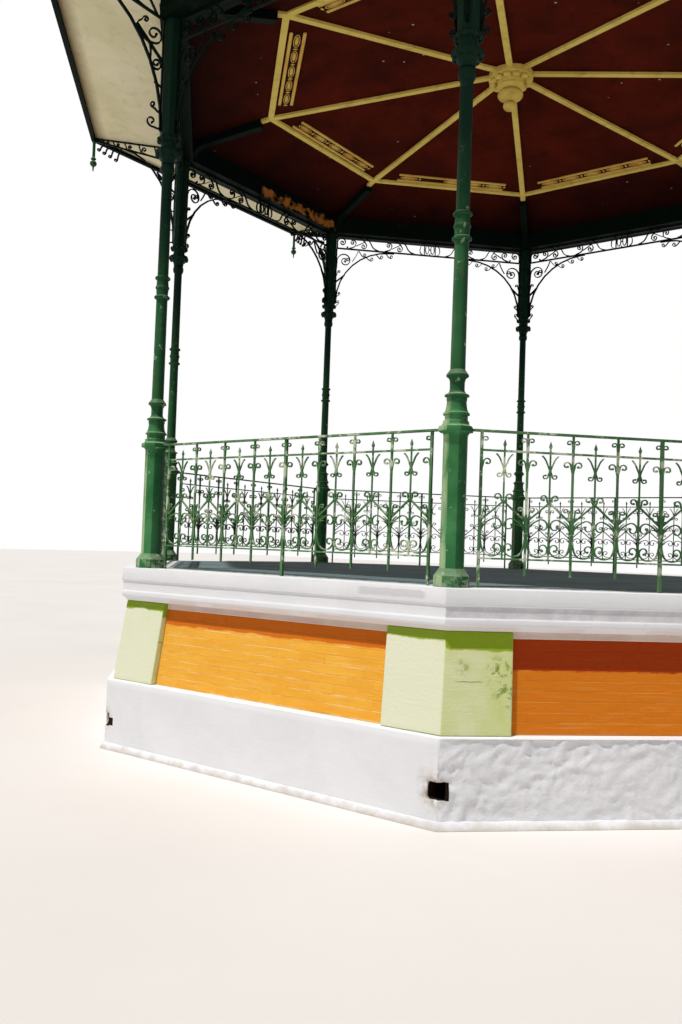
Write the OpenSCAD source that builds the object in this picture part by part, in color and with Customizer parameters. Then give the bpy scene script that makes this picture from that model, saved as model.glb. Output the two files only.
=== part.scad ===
// Octagonal park bandstand: masonry base, cast columns, iron railings and friezes,
// a wide eave on brackets, a ribbed ceiling and a low hipped roof.
// Origin at ground level on the central axis, faces square to X and Y, +Z up, millimetres.

/* [Plan] */
// Radius of the circle that the column axes stand on
column_circle_r = 3850; // [3100:10:4700]

/* [Base] */
// Height of the floor above the ground
base_h = 1500; // [1200:10:1900]
// Height of the plinth
plinth_h = 570; // [400:5:720]
// Corner of the plinth, outwards from the column axis
plinth_out = 335; // [305:5:420]
// Thickness of the plinth wall
plinth_wall = 470; // [350:10:600]
// Corner of a pilaster at its foot, outwards from the column axis
pilaster_foot_out = 280; // [200:5:300]
// Corner of a pilaster at its head, outwards from the column axis
pilaster_head_out = 187; // [150:1:198]
// Width of a pilaster on each of its two faces, at its foot
pilaster_arm = 465; // [300:5:700]
// Thickness of the masonry behind a pilaster's face
pilaster_wall = 450; // [330:10:560]
// Depth of a brick panel behind the pilaster's face
panel_recess = 50; // [15:1:70]
// Height of the cornice
cornice_h = 276; // [200:1:350]
// Corner of the cornice's top slab, outwards from the column axis
cornice_out = 244; // [205:1:300]
// Thickness of the floor slab, and of the coping around it
floor_t = 115; // [80:5:150]
// Width of the coping inside the column circle, at a corner
coping_in = 200; // [170:5:300]
// Ledge that carries the floor slab's edge
floor_ledge = 80; // [50:5:120]
// Width of the drain hole near the end of each side of the plinth
drain_w = 100; // [60:5:160]
// Height of a drain hole
drain_h = 100; // [60:5:160]
// Height of a drain hole's sill above the ground
drain_z = 185; // [100:5:350]
// Distance of a drain hole from the corner of the plinth, below zero where it wraps around
drain_in = -25; // [-40:5:300]

/* [Columns] */
// Height of an octagonal pedestal's top above the handrail's
pedestal_over_rail = 46; // [20:2:56]
// Corner radius of a pedestal's shaft
pedestal_r = 85; // [65:1:100]
// Corner radius of a pedestal's foot block
foot_r = 124; // [110:1:150]
// Corner radius of a pedestal's cap
cap_r = 120; // [112:1:150]
// Radius of the round shaft
shaft_r = 49; // [38:1:60]
// Height of the pair of rings above the floor
ring_pair_z = 2340; // [2000:10:2600]
// Distance between the two rings of the pair
ring_pair_gap = 160; // [120:5:240]
// Height of the capital's foot above the floor
capital_z = 3395; // [3150:5:3500]
// Corner radius of the octagonal post above the capital
post_r = 80; // [66:1:90]

/* [Railings] */
// Height of the handrail's top above the floor
rail_h = 1058; // [880:2:1300]
// Centre of an end post, away from the column axis
rail_end = 182; // [165:1:260]
// Gap between the two upper rails
rail_gap = 128; // [90:2:170]
// Height of the lower rail above the floor
lower_rail_z = 190; // [120:5:260]
// Bays on each side of the middle post
rail_bays = 4; // [2:1:6]
// Length of the bars' tails below the lower rail
bar_tail = 105; // [40:5:110]

/* [Frieze and brackets] */
// Height of the eave beam's underside above the floor
beam_z = 4770; // [4560:10:5200]
// Depth of the frieze, from its lower chord to the beam
frieze_h = 200; // [140:5:280]
// Height of a corner bracket below the frieze
bracket_h = 760; // [480:5:790]
// Reach of a corner bracket from the column axis
bracket_reach = 880; // [600:10:1100]

/* [Eave] */
// Width of the eave beam
beam_w = 240; // [180:5:300]
// Height of the eave beam
beam_h = 250; // [210:5:320]
// Corner of the eave's edge, outwards from the column axis
eave_out = 1220; // [900:10:1500]
// Height of the soffit's outer edge above the beam's underside
eave_rise = 385; // [300:5:480]
// Height of the soffit's inner edge above the beam's underside
soffit_rise = 170; // [120:5:195]
// Height of the fascia
fascia_h = 160; // [110:5:210]
// Thickness of the fascia
fascia_t = 44; // [24:2:50]
// Depth of an eave bracket's band of scrolls at its tip
eave_band = 30; // [24:2:120]
// Drop of an eave pendant below the eave's corner
pendant_drop = 420; // [260:5:460]

/* [Ceiling] */
// Corner radius of the ceiling ring
ring_r = 2760; // [2200:10:3000]
// Height of the ring's underside above the beam's underside
ring_rise = 425; // [330:5:460]
// Width of the ring's battens, and of the ribs
batten_w = 66; // [50:2:90]
// Length of a rib beyond the ring's corner
rib_tail = 75; // [50:5:120]
// Rise of the inner ceiling from the ring to the centre
inner_rise = 275; // [180:5:320]
// Radius of the hub
hub_r = 240; // [160:5:300]
// Width of a vent grille along the ring
grille_w = 170; // [120:10:240]
// Width of a hip rafter
rafter_w = 90; // [60:5:120]

/* [Roof] */
// Pitch of the roof along its faces
roof_pitch = 20; // [16:1:30]
// Thickness of the roof covering
roof_t = 30; // [20:2:50]
// Radius of a hip roll
hip_roll_r = 32; // [20:1:45]
// Height of the finial
finial_h = 620; // [400:10:900]

/* [Hidden] */
SIDES = 8;
half_turn = 180 / SIDES;
k_apothem = cos(half_turn);
side = 2 * column_circle_r * sin(half_turn);
wall_plane = column_circle_r * k_apothem;

// Fine clearances between pieces that meet
seat = 0.3;

// Base radii, all measured to the corners
plinth_r = column_circle_r + plinth_out;
foot_corner_r = column_circle_r + pilaster_foot_out;
head_corner_r = column_circle_r + pilaster_head_out;
batter = head_corner_r / foot_corner_r;
wall_h = base_h - plinth_h - cornice_h;
cornice_r = column_circle_r + cornice_out;
coping_r = column_circle_r - coping_in;
ledge_r = coping_r - floor_ledge;
cornice_z = base_h - cornice_h;
groove_in = 12;
moulding_in = 4;

// Pedestal profile heights
pedestal_h = rail_h + pedestal_over_rail;
foot_h = 80;
ledge_h = 36;
cavetto_h = 34;
cap_h = 74;

// Frieze levels above the floor
chord_z = beam_z - frieze_h;
bracket_z = chord_z - bracket_h;
iron_t = 14;
chord_t = 22;
arc_t = 24;
post_face = post_r * k_apothem;
post_foot = capital_z + 348;

// Eave levels above the floor
eave_r = column_circle_r + eave_out;
eave_z = beam_z + eave_rise;
soffit_z = beam_z + soffit_rise;
soffit_t = 20;
beam_in_r = (wall_plane - beam_w / 2) / k_apothem;
beam_out_r = (wall_plane + beam_w / 2) / k_apothem;
soffit_slope = (eave_z - soffit_z) / (eave_r - beam_out_r);
fascia_drop = 50;
eave_bracket_in = 55;
end_strap_t = 18;
pendant_r = 26;
fascia_in_r = eave_r - fascia_t / k_apothem;
fascia_top = eave_z - fascia_drop + fascia_h;

// Ceiling levels above the floor
ring_z = beam_z + ring_rise;
batten_t = 28;
ring_top = ring_z + batten_t;
ring_in_r = ring_r - batten_w / 2 / k_apothem;
ring_out_r = ring_r + batten_w / 2 / k_apothem;
ceiling_t = 20;
ceiling_edge_z = beam_z + beam_h - ceiling_t;
inner_slope = inner_rise / ring_r;
outer_slope = (ring_top - ceiling_edge_z) / (beam_in_r - ring_r);
rib_end_r = ring_out_r + rib_tail;
grille_gap = 24;
grille_t = 18;

// Roof levels above the floor
drip = 20;
roof_r = eave_r + drip / k_apothem;
roof_slope = tan(roof_pitch) * k_apothem;
apex_z = fascia_top + seat + eave_r * roof_slope + roof_t;

// Turn to corner i, with +X pointing out through the column
module at_corner(i) {
    rotate([0, 0, -90 + half_turn + (i - 1) * 2 * half_turn]) children();
}

// Turn to side i, with +X pointing out and +Y along the side
module at_side(i) {
    rotate([0, 0, -90 + 2 * half_turn * i]) children();
}

// An octagon with its faces square to X and Y, given by its corner radius
module octagon(r) {
    rotate([0, 0, half_turn]) circle(r = r, $fn = SIDES);
}

// A ring of eight straight pieces, from a profile of corner radius and height
module octagonal_ring(profile) {
    rotate([0, 0, half_turn]) rotate_extrude($fn = SIDES) polygon(profile);
}

// A flat shape of along and up, given thickness across the plane it stands in
module upright(t) {
    translate([-t / 2, 0, 0]) rotate([90, 0, 90]) linear_extrude(t) children();
}

// A flat shape of outwards and up, standing in the plane of a corner's radius
module upright_radial(t) {
    translate([0, t / 2, 0]) rotate([90, 0, 0]) linear_extrude(t) children();
}

function arc_points(cx, cy, rx, ry, a0, a1, n) =
    [for (i = [0 : n]) [cx + rx * cos(a0 + (a1 - a0) * i / n), cy + ry * sin(a0 + (a1 - a0) * i / n)]];

function reversed(list) = [for (i = [len(list) - 1 : -1 : 0]) list[i]];

module plinth() {
    drain_end = plinth_r * sin(half_turn) - drain_in;
    color("WhiteSmoke") difference() {
        linear_extrude(plinth_h) difference() {
            octagon(plinth_r);
            octagon(plinth_r - plinth_wall / k_apothem);
        }
        for (i = [1 : SIDES]) at_side(i)
            translate([plinth_r * k_apothem - 1.5 * plinth_wall, drain_end - drain_w, drain_z])
                cube([1.6 * plinth_wall, drain_w, drain_h]);
    }
}

// Plan of the masonry ring at the foot of the walls, its face set back by recess
module wall_plan(recess) {
    difference() {
        octagon(foot_corner_r - recess / k_apothem);
        octagon(foot_corner_r - pilaster_wall / k_apothem);
    }
}

// Plan of what lies between two pilasters, for all eight sides
module panel_plan() {
    half_panel = foot_corner_r * sin(half_turn) - pilaster_arm;
    for (i = [1 : SIDES])
        at_side(i) translate([foot_corner_r / 2, -half_panel])
            square([foot_corner_r, 2 * half_panel]);
}

// Masonry that leans inwards as it rises from the plinth to the cornice
module battered() {
    translate([0, 0, plinth_h]) linear_extrude(wall_h, scale = batter) children();
}

module corner_pilasters() {
    color("PaleGoldenrod") battered() difference() {
        wall_plan(0);
        panel_plan();
    }
}

module brick_walls() {
    color("DarkOrange") battered() intersection() {
        wall_plan(panel_recess);
        panel_plan();
    }
}

// Two fascias with a groove between them, over a cyma that springs from the wall
module cornice() {
    band_h = 84;
    lip_h = 34;
    throat = 14;
    weathering = 12;
    groove_z = base_h - floor_t;
    band_z = groove_z - band_h;
    lip_z = band_z - lip_h;
    color("WhiteSmoke") octagonal_ring(
        [[coping_r, base_h], [coping_r, groove_z], [ledge_r, groove_z], [ledge_r, cornice_z],
         [head_corner_r, cornice_z],
         [head_corner_r + throat, cornice_z + throat], [cornice_r - moulding_in, lip_z],
         [cornice_r - moulding_in, band_z], [cornice_r - groove_in, band_z + weathering],
         [cornice_r - groove_in, groove_z], [cornice_r, groove_z + weathering], [cornice_r, base_h]]);
}

module floor_slab() {
    color("LightGrey") translate([0, 0, base_h - floor_t])
        linear_extrude(floor_t) octagon(coping_r - seat);
}

// An octagonal cast pedestal: foot block, sloping ledge, shaft, cavetto and a domed cap
module pedestal() {
    foot_chamfer = 8;
    ledge_in = 7;
    cap_lip = 12;
    cap_edge = 32;
    cap_step = 4;
    crown_r = 92;
    crown_h = 14;
    cap_low = pedestal_h - cap_h;
    shaft_head = cap_low - cavetto_h;
    rotate([0, 0, half_turn]) rotate_extrude($fn = SIDES) polygon(concat(
        [[0, 0], [foot_r, 0], [foot_r, foot_h - foot_chamfer], [foot_r - foot_chamfer, foot_h],
         [pedestal_r + ledge_in, foot_h + ledge_h], [pedestal_r, foot_h + ledge_h + ledge_in]],
        arc_points(cap_r - cap_lip, shaft_head, cap_r - cap_lip - pedestal_r, cavetto_h, 180, 90, 4),
        [[cap_r, cap_low], [cap_r, cap_low + cap_edge], [cap_r - cap_step, cap_low + cap_edge + cap_step]],
        arc_points(cap_r - cap_step, pedestal_h - crown_h, cap_r - cap_step - crown_r,
                   cap_h - cap_edge - cap_step - crown_h, 255, 180, 3),
        [[crown_r, pedestal_h - cap_step], [crown_r - cap_step, pedestal_h], [0, pedestal_h]]));
}

module pedestals() {
    color("ForestGreen") for (i = [1 : SIDES])
        at_corner(i) translate([column_circle_r, 0, base_h]) pedestal();
}

// Outline of a half-round bead that stands out from a shaft, from height z up
function bead(shaft, out, z, h) = arc_points(shaft, z + h / 2, out - shaft, h / 2, -90, 90, 6);

// The column's foot: a drum, a bell and a neck, under three thin lips that slope on top
function column_foot() =
    let (drum_r = 77, drum_h = 40, bell_r = 90, bell_waist = 66, bell_h = 86, throat_r = 69,
         throat_h = 30, lip_r = 83, neck_r = 50, neck_h = 84, slope_h = 38, high_lip_r = 76,
         lip_t = 9, chamfer = 3,
         bell_z = pedestal_h + drum_h + lip_t, throat_z = bell_z + bell_h,
         lip_z = throat_z + throat_h, neck_z = lip_z + lip_t + slope_h,
         high_z = neck_z + neck_h + lip_t / 2)
    concat(
        [[0, pedestal_h], [drum_r, pedestal_h], [drum_r, pedestal_h + drum_h - chamfer],
         [bell_r, pedestal_h + drum_h], [bell_r, bell_z]],
        arc_points(bell_r, throat_z, bell_r - bell_waist, bell_h - chamfer, 265, 180, 5),
        [[throat_r, throat_z + chamfer], [throat_r, lip_z - 2 * chamfer], [lip_r, lip_z],
         [lip_r, lip_z + lip_t]],
        arc_points(lip_r, neck_z, lip_r - neck_r, slope_h - chamfer, 262, 180, 4),
        arc_points(high_lip_r, neck_z + neck_h / 2, high_lip_r - neck_r, neck_h / 2, 180, 98, 5),
        [[high_lip_r, high_z], [high_lip_r, high_z + lip_t],
         [shaft_r + 2, high_z + lip_t + slope_h - chamfer]]);

// The pair of rings part of the way up the shaft, with a thin one between them
function ring_pair() =
    let (low_r = 68, high_r = 66, mid_r = 60, ring_h = 30, mid_h = 22, fillet = 20, sleeve = 4)
    concat(
        [[shaft_r - 1, ring_pair_z - fillet - 4]],
        bead(shaft_r, low_r, ring_pair_z - fillet, ring_h),
        bead(shaft_r + sleeve, mid_r, ring_pair_z + ring_pair_gap / 2 - mid_h / 2, mid_h),
        bead(shaft_r, high_r, ring_pair_z + ring_pair_gap - fillet + 8, ring_h),
        [[shaft_r - 2, ring_pair_z + ring_pair_gap + fillet + 4]]);

// The capital: a collar, a vase and two rings of leaves, up to the post
function capital() =
    let (neck_r = shaft_r - 4, collar_r = 62, collar_z = capital_z + 22, collar_h = 84,
         waist_r = 56, vase_r = 80, vase_h = 56, drum_r = 66,
         low_ring_r = 110, low_ring_h = 62, low_ring_z = capital_z + 172,
         high_ring_r = 98, high_ring_h = 40, high_ring_z = capital_z + 300)
    concat(
        [[neck_r, collar_z - 4]],
        bead(neck_r, collar_r, collar_z, collar_h),
        arc_points(vase_r, collar_z + collar_h + 2, vase_r - waist_r, vase_h, 180, 110, 4),
        bead(vase_r, low_ring_r, low_ring_z, low_ring_h),
        [[drum_r, low_ring_z + low_ring_h + 8], [drum_r, high_ring_z - 8]],
        bead(drum_r + 8, high_ring_r, high_ring_z, high_ring_h),
        [[post_face, post_foot], [0, post_foot]]);

// One cast column, from the pedestal's cap to the eave beam
module column() {
    rotate_extrude($fn = 48) polygon(concat(column_foot(), ring_pair(), capital()));
    translate([0, 0, post_foot - seat]) rotate([0, 0, half_turn])
        cylinder(r = post_r, h = beam_z - post_foot + seat, $fn = SIDES);
}

module placed_column(i) {
    color("SeaGreen") at_corner(i) translate([column_circle_r, 0, base_h]) column();
}

// One wrought railing between two columns, its bars and rails fused as a grille
module railing() {
    half = side / 2 - rail_end;
    rail_tip = side / 2 - cap_r - seat;
    bay = half / rail_bays;
    handrail_w = 42;
    handrail_t = 14;
    flat_w = 28;
    flat_t = 12;
    end_post_w = 18;
    mid_post_w = 22;
    bar_w = 14;
    thin_w = 10;
    joint = 4;
    top_z = rail_h - handrail_t;
    second_z = top_z - rail_gap;
    spear_top = second_z + rail_gap / 2;
    // Handrail, second rail and lower rail
    translate([-handrail_w / 2, -rail_tip, top_z]) cube([handrail_w, 2 * rail_tip, handrail_t]);
    for (z = [second_z, lower_rail_z])
        translate([-flat_w / 2, -half, z]) cube([flat_w, 2 * half, flat_t]);
    // End posts and the middle post stand on the floor
    for (s = [-1, 1])
        translate([-end_post_w / 2, s * half - end_post_w / 2, 0])
            cube([end_post_w, end_post_w, top_z + joint]);
    translate([-mid_post_w / 2, -mid_post_w / 2, 0]) cube([mid_post_w, mid_post_w, top_z + joint]);
    // Bars between the bays, and a thinner bar with a spear head in each bay
    for (i = [1 : rail_bays - 1], s = [-1, 1])
        translate([-bar_w / 2, s * i * bay - bar_w / 2, lower_rail_z - bar_tail])
            cube([bar_w, bar_w, top_z + joint - lower_rail_z + bar_tail]);
    for (i = [0 : rail_bays - 1], s = [-1, 1])
        translate([-thin_w / 2, s * (i + 0.5) * bay - thin_w / 2, lower_rail_z + joint])
            cube([thin_w, thin_w, spear_top - lower_rail_z]);
}

module placed_railing(i) {
    color("DarkGreen") at_side(i) translate([wall_plane, 0, base_h]) railing();
}

// The frieze of one side: two chords, end bars and a pair of bars at the middle
module frieze() {
    half = side / 2 - post_r - seat;
    chord_w = 22;
    chord_h = 18;
    end_w = 16;
    bar_w = 12;
    joint = 4;
    pair_gap = 82;
    translate([-chord_w / 2, -half, chord_z]) cube([chord_w, 2 * half, chord_h]);
    translate([-chord_w / 2, -half, beam_z - chord_h]) cube([chord_w, 2 * half, chord_h - seat]);
    for (s = [-1, 1]) {
        translate([-end_w / 2, s * (half - end_w / 2) - end_w / 2, chord_z + joint])
            cube([end_w, end_w, frieze_h - 3 * joint]);
        translate([-bar_w / 2, s * pair_gap - bar_w / 2, chord_z + joint])
            cube([bar_w, bar_w, frieze_h - 3 * joint]);
    }
    // A long S in each half, as two bars that cross the band
    for (s = [-1, 1], span = [[0.14, 0.5], [0.56, 0.92]])
        hull() for (end = [0, 1])
            translate([-bar_w / 2, s * span[end] * half - bar_w / 2,
                       end == 0 ? chord_z + joint : beam_z - chord_h - bar_w + joint])
                cube([bar_w, bar_w, bar_w]);
}

module placed_frieze(i) {
    color("DarkSlateGray") at_side(i) translate([wall_plane, 0, base_h]) frieze();
}

// A curved corner bracket as a flat shape: strap, quarter arc and a round scroll
module bracket_shape(reach, h, near, t) {
    scroll_share = 0.17;
    a = reach - near;
    scroll_r = scroll_share * min(a, h);
    scroll_x = near + t + scroll_r - 2;
    scroll_y = h - t - scroll_r + 8;
    union() {
        translate([near, 0]) square([t / 2, h]);
        quarter_strap(near, 0, a, h, t);
        translate([near, h - t / 2]) square([a, t / 2]);
        translate([scroll_x, scroll_y]) difference() {
            circle(r = scroll_r, $fn = 32);
            circle(r = scroll_r - t / 2, $fn = 32);
        }
    }
}

module spandrel_brackets() {
    near = post_r + seat;
    color("DarkSlateGray") for (i = [1 : SIDES], s = [0, 1])
        at_side(i) translate([wall_plane, 0, base_h + bracket_z]) mirror([0, s, 0])
            translate([0, -side / 2, 0]) upright(iron_t)
                bracket_shape(bracket_reach, bracket_h - seat, near, arc_t);
}

// Points raised by a slope outwards from x
function sheared(points, x, slope) = [for (p = points) [p[0], p[1] + slope * (p[0] - x)]];

// A quarter-elliptical strap that springs at (x, z) and ends along the slope
module quarter_strap(x, z, reach, h, t, slope = 0) {
    polygon(sheared(concat(
        arc_points(x + reach, z, reach, h, 180, 90, 18),
        reversed(arc_points(x + reach, z, reach - t, h - t, 180, 90, 18))), x, slope));
}

// A straight strap between two points, its top edge on them
module sloping_strap(from, to, t) {
    polygon([from, to, [to[0], to[1] - t], [from[0], from[1] - t]]);
}

// The bracket that carries a corner of the eave, standing out from the column
module eave_bracket() {
    near = column_circle_r + post_face + seat;
    out = eave_r - eave_bracket_in;
    strap_top = beam_z - seat;
    hip_x = beam_out_r + seat;
    hip_z = soffit_z - seat;
    hip_end = hip_z + soffit_slope * (out - hip_x);
    low_end = hip_end - eave_band;
    low_slope = (low_end - strap_top) / (out - near);
    arc_share = 0.64;
    arc_reach = arc_share * (out - near);
    arc_top = strap_top - chord_t / 3;
    difference() {
        union() {
            translate([near, bracket_z]) square([arc_t / 2, strap_top - bracket_z]);
            sloping_strap([hip_x, hip_z], [out, hip_end], chord_t);
            sloping_strap([near, strap_top], [out, low_end], chord_t);
            translate([out - end_strap_t, low_end - chord_t])
                square([end_strap_t, eave_band + chord_t / 2]);
            translate([hip_x, strap_top - chord_t])
                square([end_strap_t, hip_z - strap_top + chord_t / 2]);
            quarter_strap(near, bracket_z, arc_reach, arc_top - bracket_z, arc_t, low_slope);
        }
        translate([0, beam_z - seat]) square([beam_out_r + seat, beam_h]);
    }
}

module eave_brackets() {
    color("DarkSlateGray") for (i = [1 : SIDES])
        at_corner(i) translate([0, 0, base_h]) upright_radial(iron_t) eave_bracket();
}

// A turned drop under each corner of the eave
module eave_pendant() {
    rod_r = 18;
    tip_r = 12;
    tip_h = 56;
    knob_r = 42;
    knob_h = 68;
    collar_r = 32;
    collar_h = 10;
    top = eave_z - fascia_drop - seat;
    foot = eave_z - pendant_drop;
    knob_z = foot + tip_h + knob_h / 2 + 4;
    collar_z = knob_z + knob_h / 2 + 18;
    rotate_extrude($fn = 24) polygon(concat(
        [[0, foot], [tip_r / 2, foot], [tip_r, foot + tip_h]],
        arc_points(tip_r, knob_z, knob_r - tip_r, knob_h / 2, -80, 80, 6),
        [[collar_r - tip_r, collar_z - 6], [collar_r, collar_z], [collar_r, collar_z + collar_h],
         [rod_r, collar_z + 2 * collar_h + 6], [rod_r, top - 2 * tip_r],
         [pendant_r, top - tip_r], [pendant_r, top], [0, top]]));
}

module eave_pendants() {
    color("DarkSeaGreen") for (i = [1 : SIDES])
        at_corner(i) translate([eave_r - eave_bracket_in + pendant_r + seat, 0, base_h]) eave_pendant();
}

module eave_beam() {
    color("DarkGreen") translate([0, 0, base_h + beam_z])
        linear_extrude(beam_h) difference() {
            octagon(beam_out_r);
            octagon(beam_in_r);
        }
}

module soffit() {
    inner = beam_out_r;
    outer = fascia_in_r;
    end_z = soffit_z + soffit_slope * (outer - inner);
    color("Wheat") translate([0, 0, base_h])
        octagonal_ring([[inner, soffit_z], [outer, end_z], [outer, end_z + soffit_t],
                        [inner, soffit_z + soffit_t]]);
}

module fascia() {
    z0 = eave_z - fascia_drop;
    color("DarkSlateGray") translate([0, 0, base_h + z0])
        linear_extrude(fascia_h) difference() {
            octagon(eave_r);
            octagon(fascia_in_r);
        }
}

// Height of the outer ceiling's underside over a corner radius r
function outer_ceiling_z(r) = ceiling_edge_z + (beam_in_r - r) * outer_slope;

// Height of the inner ceiling's underside over a corner radius r
function inner_ceiling_z(r) = ring_top + (ring_r - r) * inner_slope;

module outer_ceiling() {
    color("Brown") translate([0, 0, base_h])
        octagonal_ring([[beam_in_r, outer_ceiling_z(beam_in_r)],
                        [beam_in_r, outer_ceiling_z(beam_in_r) + ceiling_t],
                        [ring_r, ring_top + ceiling_t], [ring_r, ring_top]]);
}

module inner_ceiling() {
    color("Brown") translate([0, 0, base_h])
        octagonal_ring([[0, inner_ceiling_z(0)], [ring_r, ring_top], [ring_r, ring_top + ceiling_t],
                        [0, inner_ceiling_z(0) + ceiling_t]]);
}

// How far a flat-topped piece of width w hangs below a hip of the given slope
function hip_drop(w, slope) = w / 2 * tan(half_turn) * slope + seat;

// One hip rafter, haunched where it springs from the beam over a column
module hip_rafter() {
    depth = 95;
    haunch = 230;
    foot_rise = 4;
    foot = beam_in_r;
    head = rib_end_r + seat;
    drop = hip_drop(rafter_w, outer_slope);
    foot_low = beam_z + foot_rise;
    neck = foot - haunch;
    neck_low = outer_ceiling_z(neck) - drop - depth;
    polygon(concat(
        [[foot, outer_ceiling_z(foot) - drop], [head, outer_ceiling_z(head) - drop],
         [head, outer_ceiling_z(head) - drop - depth], [neck, neck_low]],
        arc_points(neck, foot_low - 3 * foot_rise, haunch, neck_low - foot_low + 3 * foot_rise, 80, 10, 6),
        [[foot, foot_low]]));
}

module hip_rafters() {
    color("DarkGreen") intersection() {
        for (i = [1 : SIDES])
            at_corner(i) translate([0, 0, base_h]) upright_radial(rafter_w) hip_rafter();
        translate([0, 0, base_h + beam_z]) linear_extrude(ring_rise + inner_rise)
            octagon(beam_in_r - seat);
    }
}

// Flat battens under the joint of the two ceilings, cut where the ribs pass
module ceiling_ring() {
    slot = batten_w + 2 * seat;
    difference() {
        translate([0, 0, base_h]) octagonal_ring(
            [[ring_in_r, ring_z], [ring_out_r, ring_z],
             [ring_out_r, outer_ceiling_z(ring_out_r) - seat], [ring_r, ring_top - seat],
             [ring_in_r, inner_ceiling_z(ring_in_r) - seat]]);
        for (i = [1 : SIDES]) at_corner(i)
            translate([ring_r - 2 * batten_w, -slot / 2, base_h + ring_z - batten_t])
                cube([4 * batten_w, slot, 3 * batten_t]);
    }
}

// Ribs from the hub to just past the ring's corners, under the ceilings' hips
module ceiling_ribs() {
    r_in = hub_r + seat;
    drop = hip_drop(batten_w, outer_slope);
    tail_low = outer_ceiling_z(rib_end_r) - drop - batten_t;
    for (i = [1 : SIDES])
        at_corner(i) translate([0, 0, base_h]) upright_radial(batten_w)
            polygon([[rib_end_r, outer_ceiling_z(rib_end_r) - drop], [ring_r, ring_top - drop],
                     [r_in, inner_ceiling_z(r_in) - drop], [r_in, inner_ceiling_z(r_in) - drop - batten_t],
                     [ring_r, ring_z - drop], [rib_end_r, tail_low]]);
}

module ceiling_battens() {
    color("Wheat") {
        ceiling_ring();
        ceiling_ribs();
    }
}

// One pierced grille on the inner ceiling: two long strips joined by cross bars
module vent_grille() {
    strip = 34;
    bars = 9;
    bar_w = 20;
    bar_sink = 2;
    share_of_side = 0.70;
    reach = ring_in_r * k_apothem - grille_gap;
    length = 2 * ring_r * sin(half_turn) * share_of_side;
    tilt = atan(inner_slope / k_apothem);
    z = inner_ceiling_z(reach / k_apothem) - seat;
    translate([reach, 0, base_h + z]) rotate([0, tilt, 0]) translate([-grille_w, 0, -grille_t]) {
        for (x = [0, grille_w - strip])
            translate([x, -length / 2, 0]) cube([strip, length, grille_t]);
        for (n = [0 : bars])
            translate([strip / 2, (n / bars - 0.5) * (length - bar_w) - bar_w / 2, bar_sink])
                cube([grille_w - strip, bar_w, grille_t - 2 * bar_sink]);
    }
}

module vent_grilles() {
    color("Wheat") for (i = [1 : SIDES]) at_side(i) vent_grille();
}

// The hub that the ribs run into, with its turned pendant below
module hub() {
    hub_t = 70;
    rim = 10;
    bowl_r = 150;
    fillet_r = 120;
    bowl_h = 48;
    throat_h = 56;
    shank_r = 110;
    shank_h = 100;
    upper_ball = [76, 62, 50, 160];
    lower_ball = [20, 56, 48, 280];
    tip_r = 12;
    drop = 340;
    top = inner_ceiling_z(hub_r / k_apothem) - seat;
    low = top - hub_t;
    color("Wheat") translate([0, 0, base_h]) rotate_extrude($fn = 48) polygon(concat(
        [[0, low - drop], [tip_r, low - drop + 4]],
        arc_points(lower_ball[0], low - lower_ball[3], lower_ball[1], lower_ball[2], -80, 80, 8),
        [[lower_ball[1], low - lower_ball[3] + 58], [upper_ball[0] - 6, low - upper_ball[3] - 56]],
        arc_points(upper_ball[0], low - upper_ball[3], upper_ball[1], upper_ball[2], -80, 80, 8),
        [[shank_r, low - shank_h], [bowl_r, low - shank_h + 30], [fillet_r, low - throat_h],
         [bowl_r, low - throat_h + bowl_h], [hub_r - rim, low], [hub_r, low + rim], [hub_r, top],
         [0, top]]));
}

// Height of the roof's underside over a corner radius r
function roof_z(r) = fascia_top + seat + (eave_r - r) * roof_slope;

module roof_covering() {
    color("SlateGray") translate([0, 0, base_h])
        octagonal_ring([[0, roof_z(0)], [roof_r, roof_z(roof_r)], [roof_r, roof_z(roof_r) + roof_t],
                        [0, roof_z(0) + roof_t]]);
}

module hip_rolls() {
    hip_angle = atan(roof_slope);
    eave_gap = 30;
    apex_gap = 130;
    start = roof_r - eave_gap;
    run = start - apex_gap;
    lift = hip_roll_r / cos(hip_angle) + seat;
    color("SlateGray") for (i = [1 : SIDES])
        at_corner(i) translate([start, 0, base_h + roof_z(start) + roof_t + lift])
            rotate([0, -90 + hip_angle, 0])
                cylinder(r = hip_roll_r, h = run / cos(hip_angle), $fn = 24);
}

// Flared foot over the apex, a ball, a collar and a spike
module finial() {
    z0 = base_h + apex_z;
    foot_r = 120;
    flare = 80;
    stem_r = 36;
    ball_r = 76;
    ball_z = z0 + 230;
    ball_h = 80;
    collar_r = 44;
    collar_z = z0 + 340;
    collar_t = 16;
    spike_r = 8;
    foot_drop = foot_r * roof_slope;
    color("SlateGray") rotate_extrude($fn = 32) polygon(concat(
        [[0, z0 + seat], [foot_r, z0 - foot_drop + seat + 12], [foot_r, z0 + 20]],
        arc_points(foot_r, z0 + 130, flare, 110, 270, 180, 6),
        arc_points(stem_r, ball_z, ball_r, ball_h, -70, 75, 8),
        [[26, collar_z - 10], [collar_r, collar_z], [collar_r, collar_z + collar_t],
         [collar_r / 2, collar_z + 40], [spike_r, z0 + finial_h - 12], [0, z0 + finial_h]]));
}

plinth();
brick_walls();
corner_pilasters();
cornice();
floor_slab();
pedestals();
for (i = [1 : SIDES]) {
    placed_column(i);
    placed_railing(i);
    placed_frieze(i);
}
spandrel_brackets();
eave_brackets();
eave_pendants();
eave_beam();
soffit();
fascia();
hip_rafters();
outer_ceiling();
inner_ceiling();
ceiling_battens();
vent_grilles();
hub();
roof_covering();
hip_rolls();
finial();
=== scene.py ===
"""Looks of an octagonal park bandstand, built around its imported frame.

Lengths are in metres and angles in degrees. A height called z is measured from the floor of the
stand, unless its name or a comment says that it is above the ground.
"""

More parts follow.
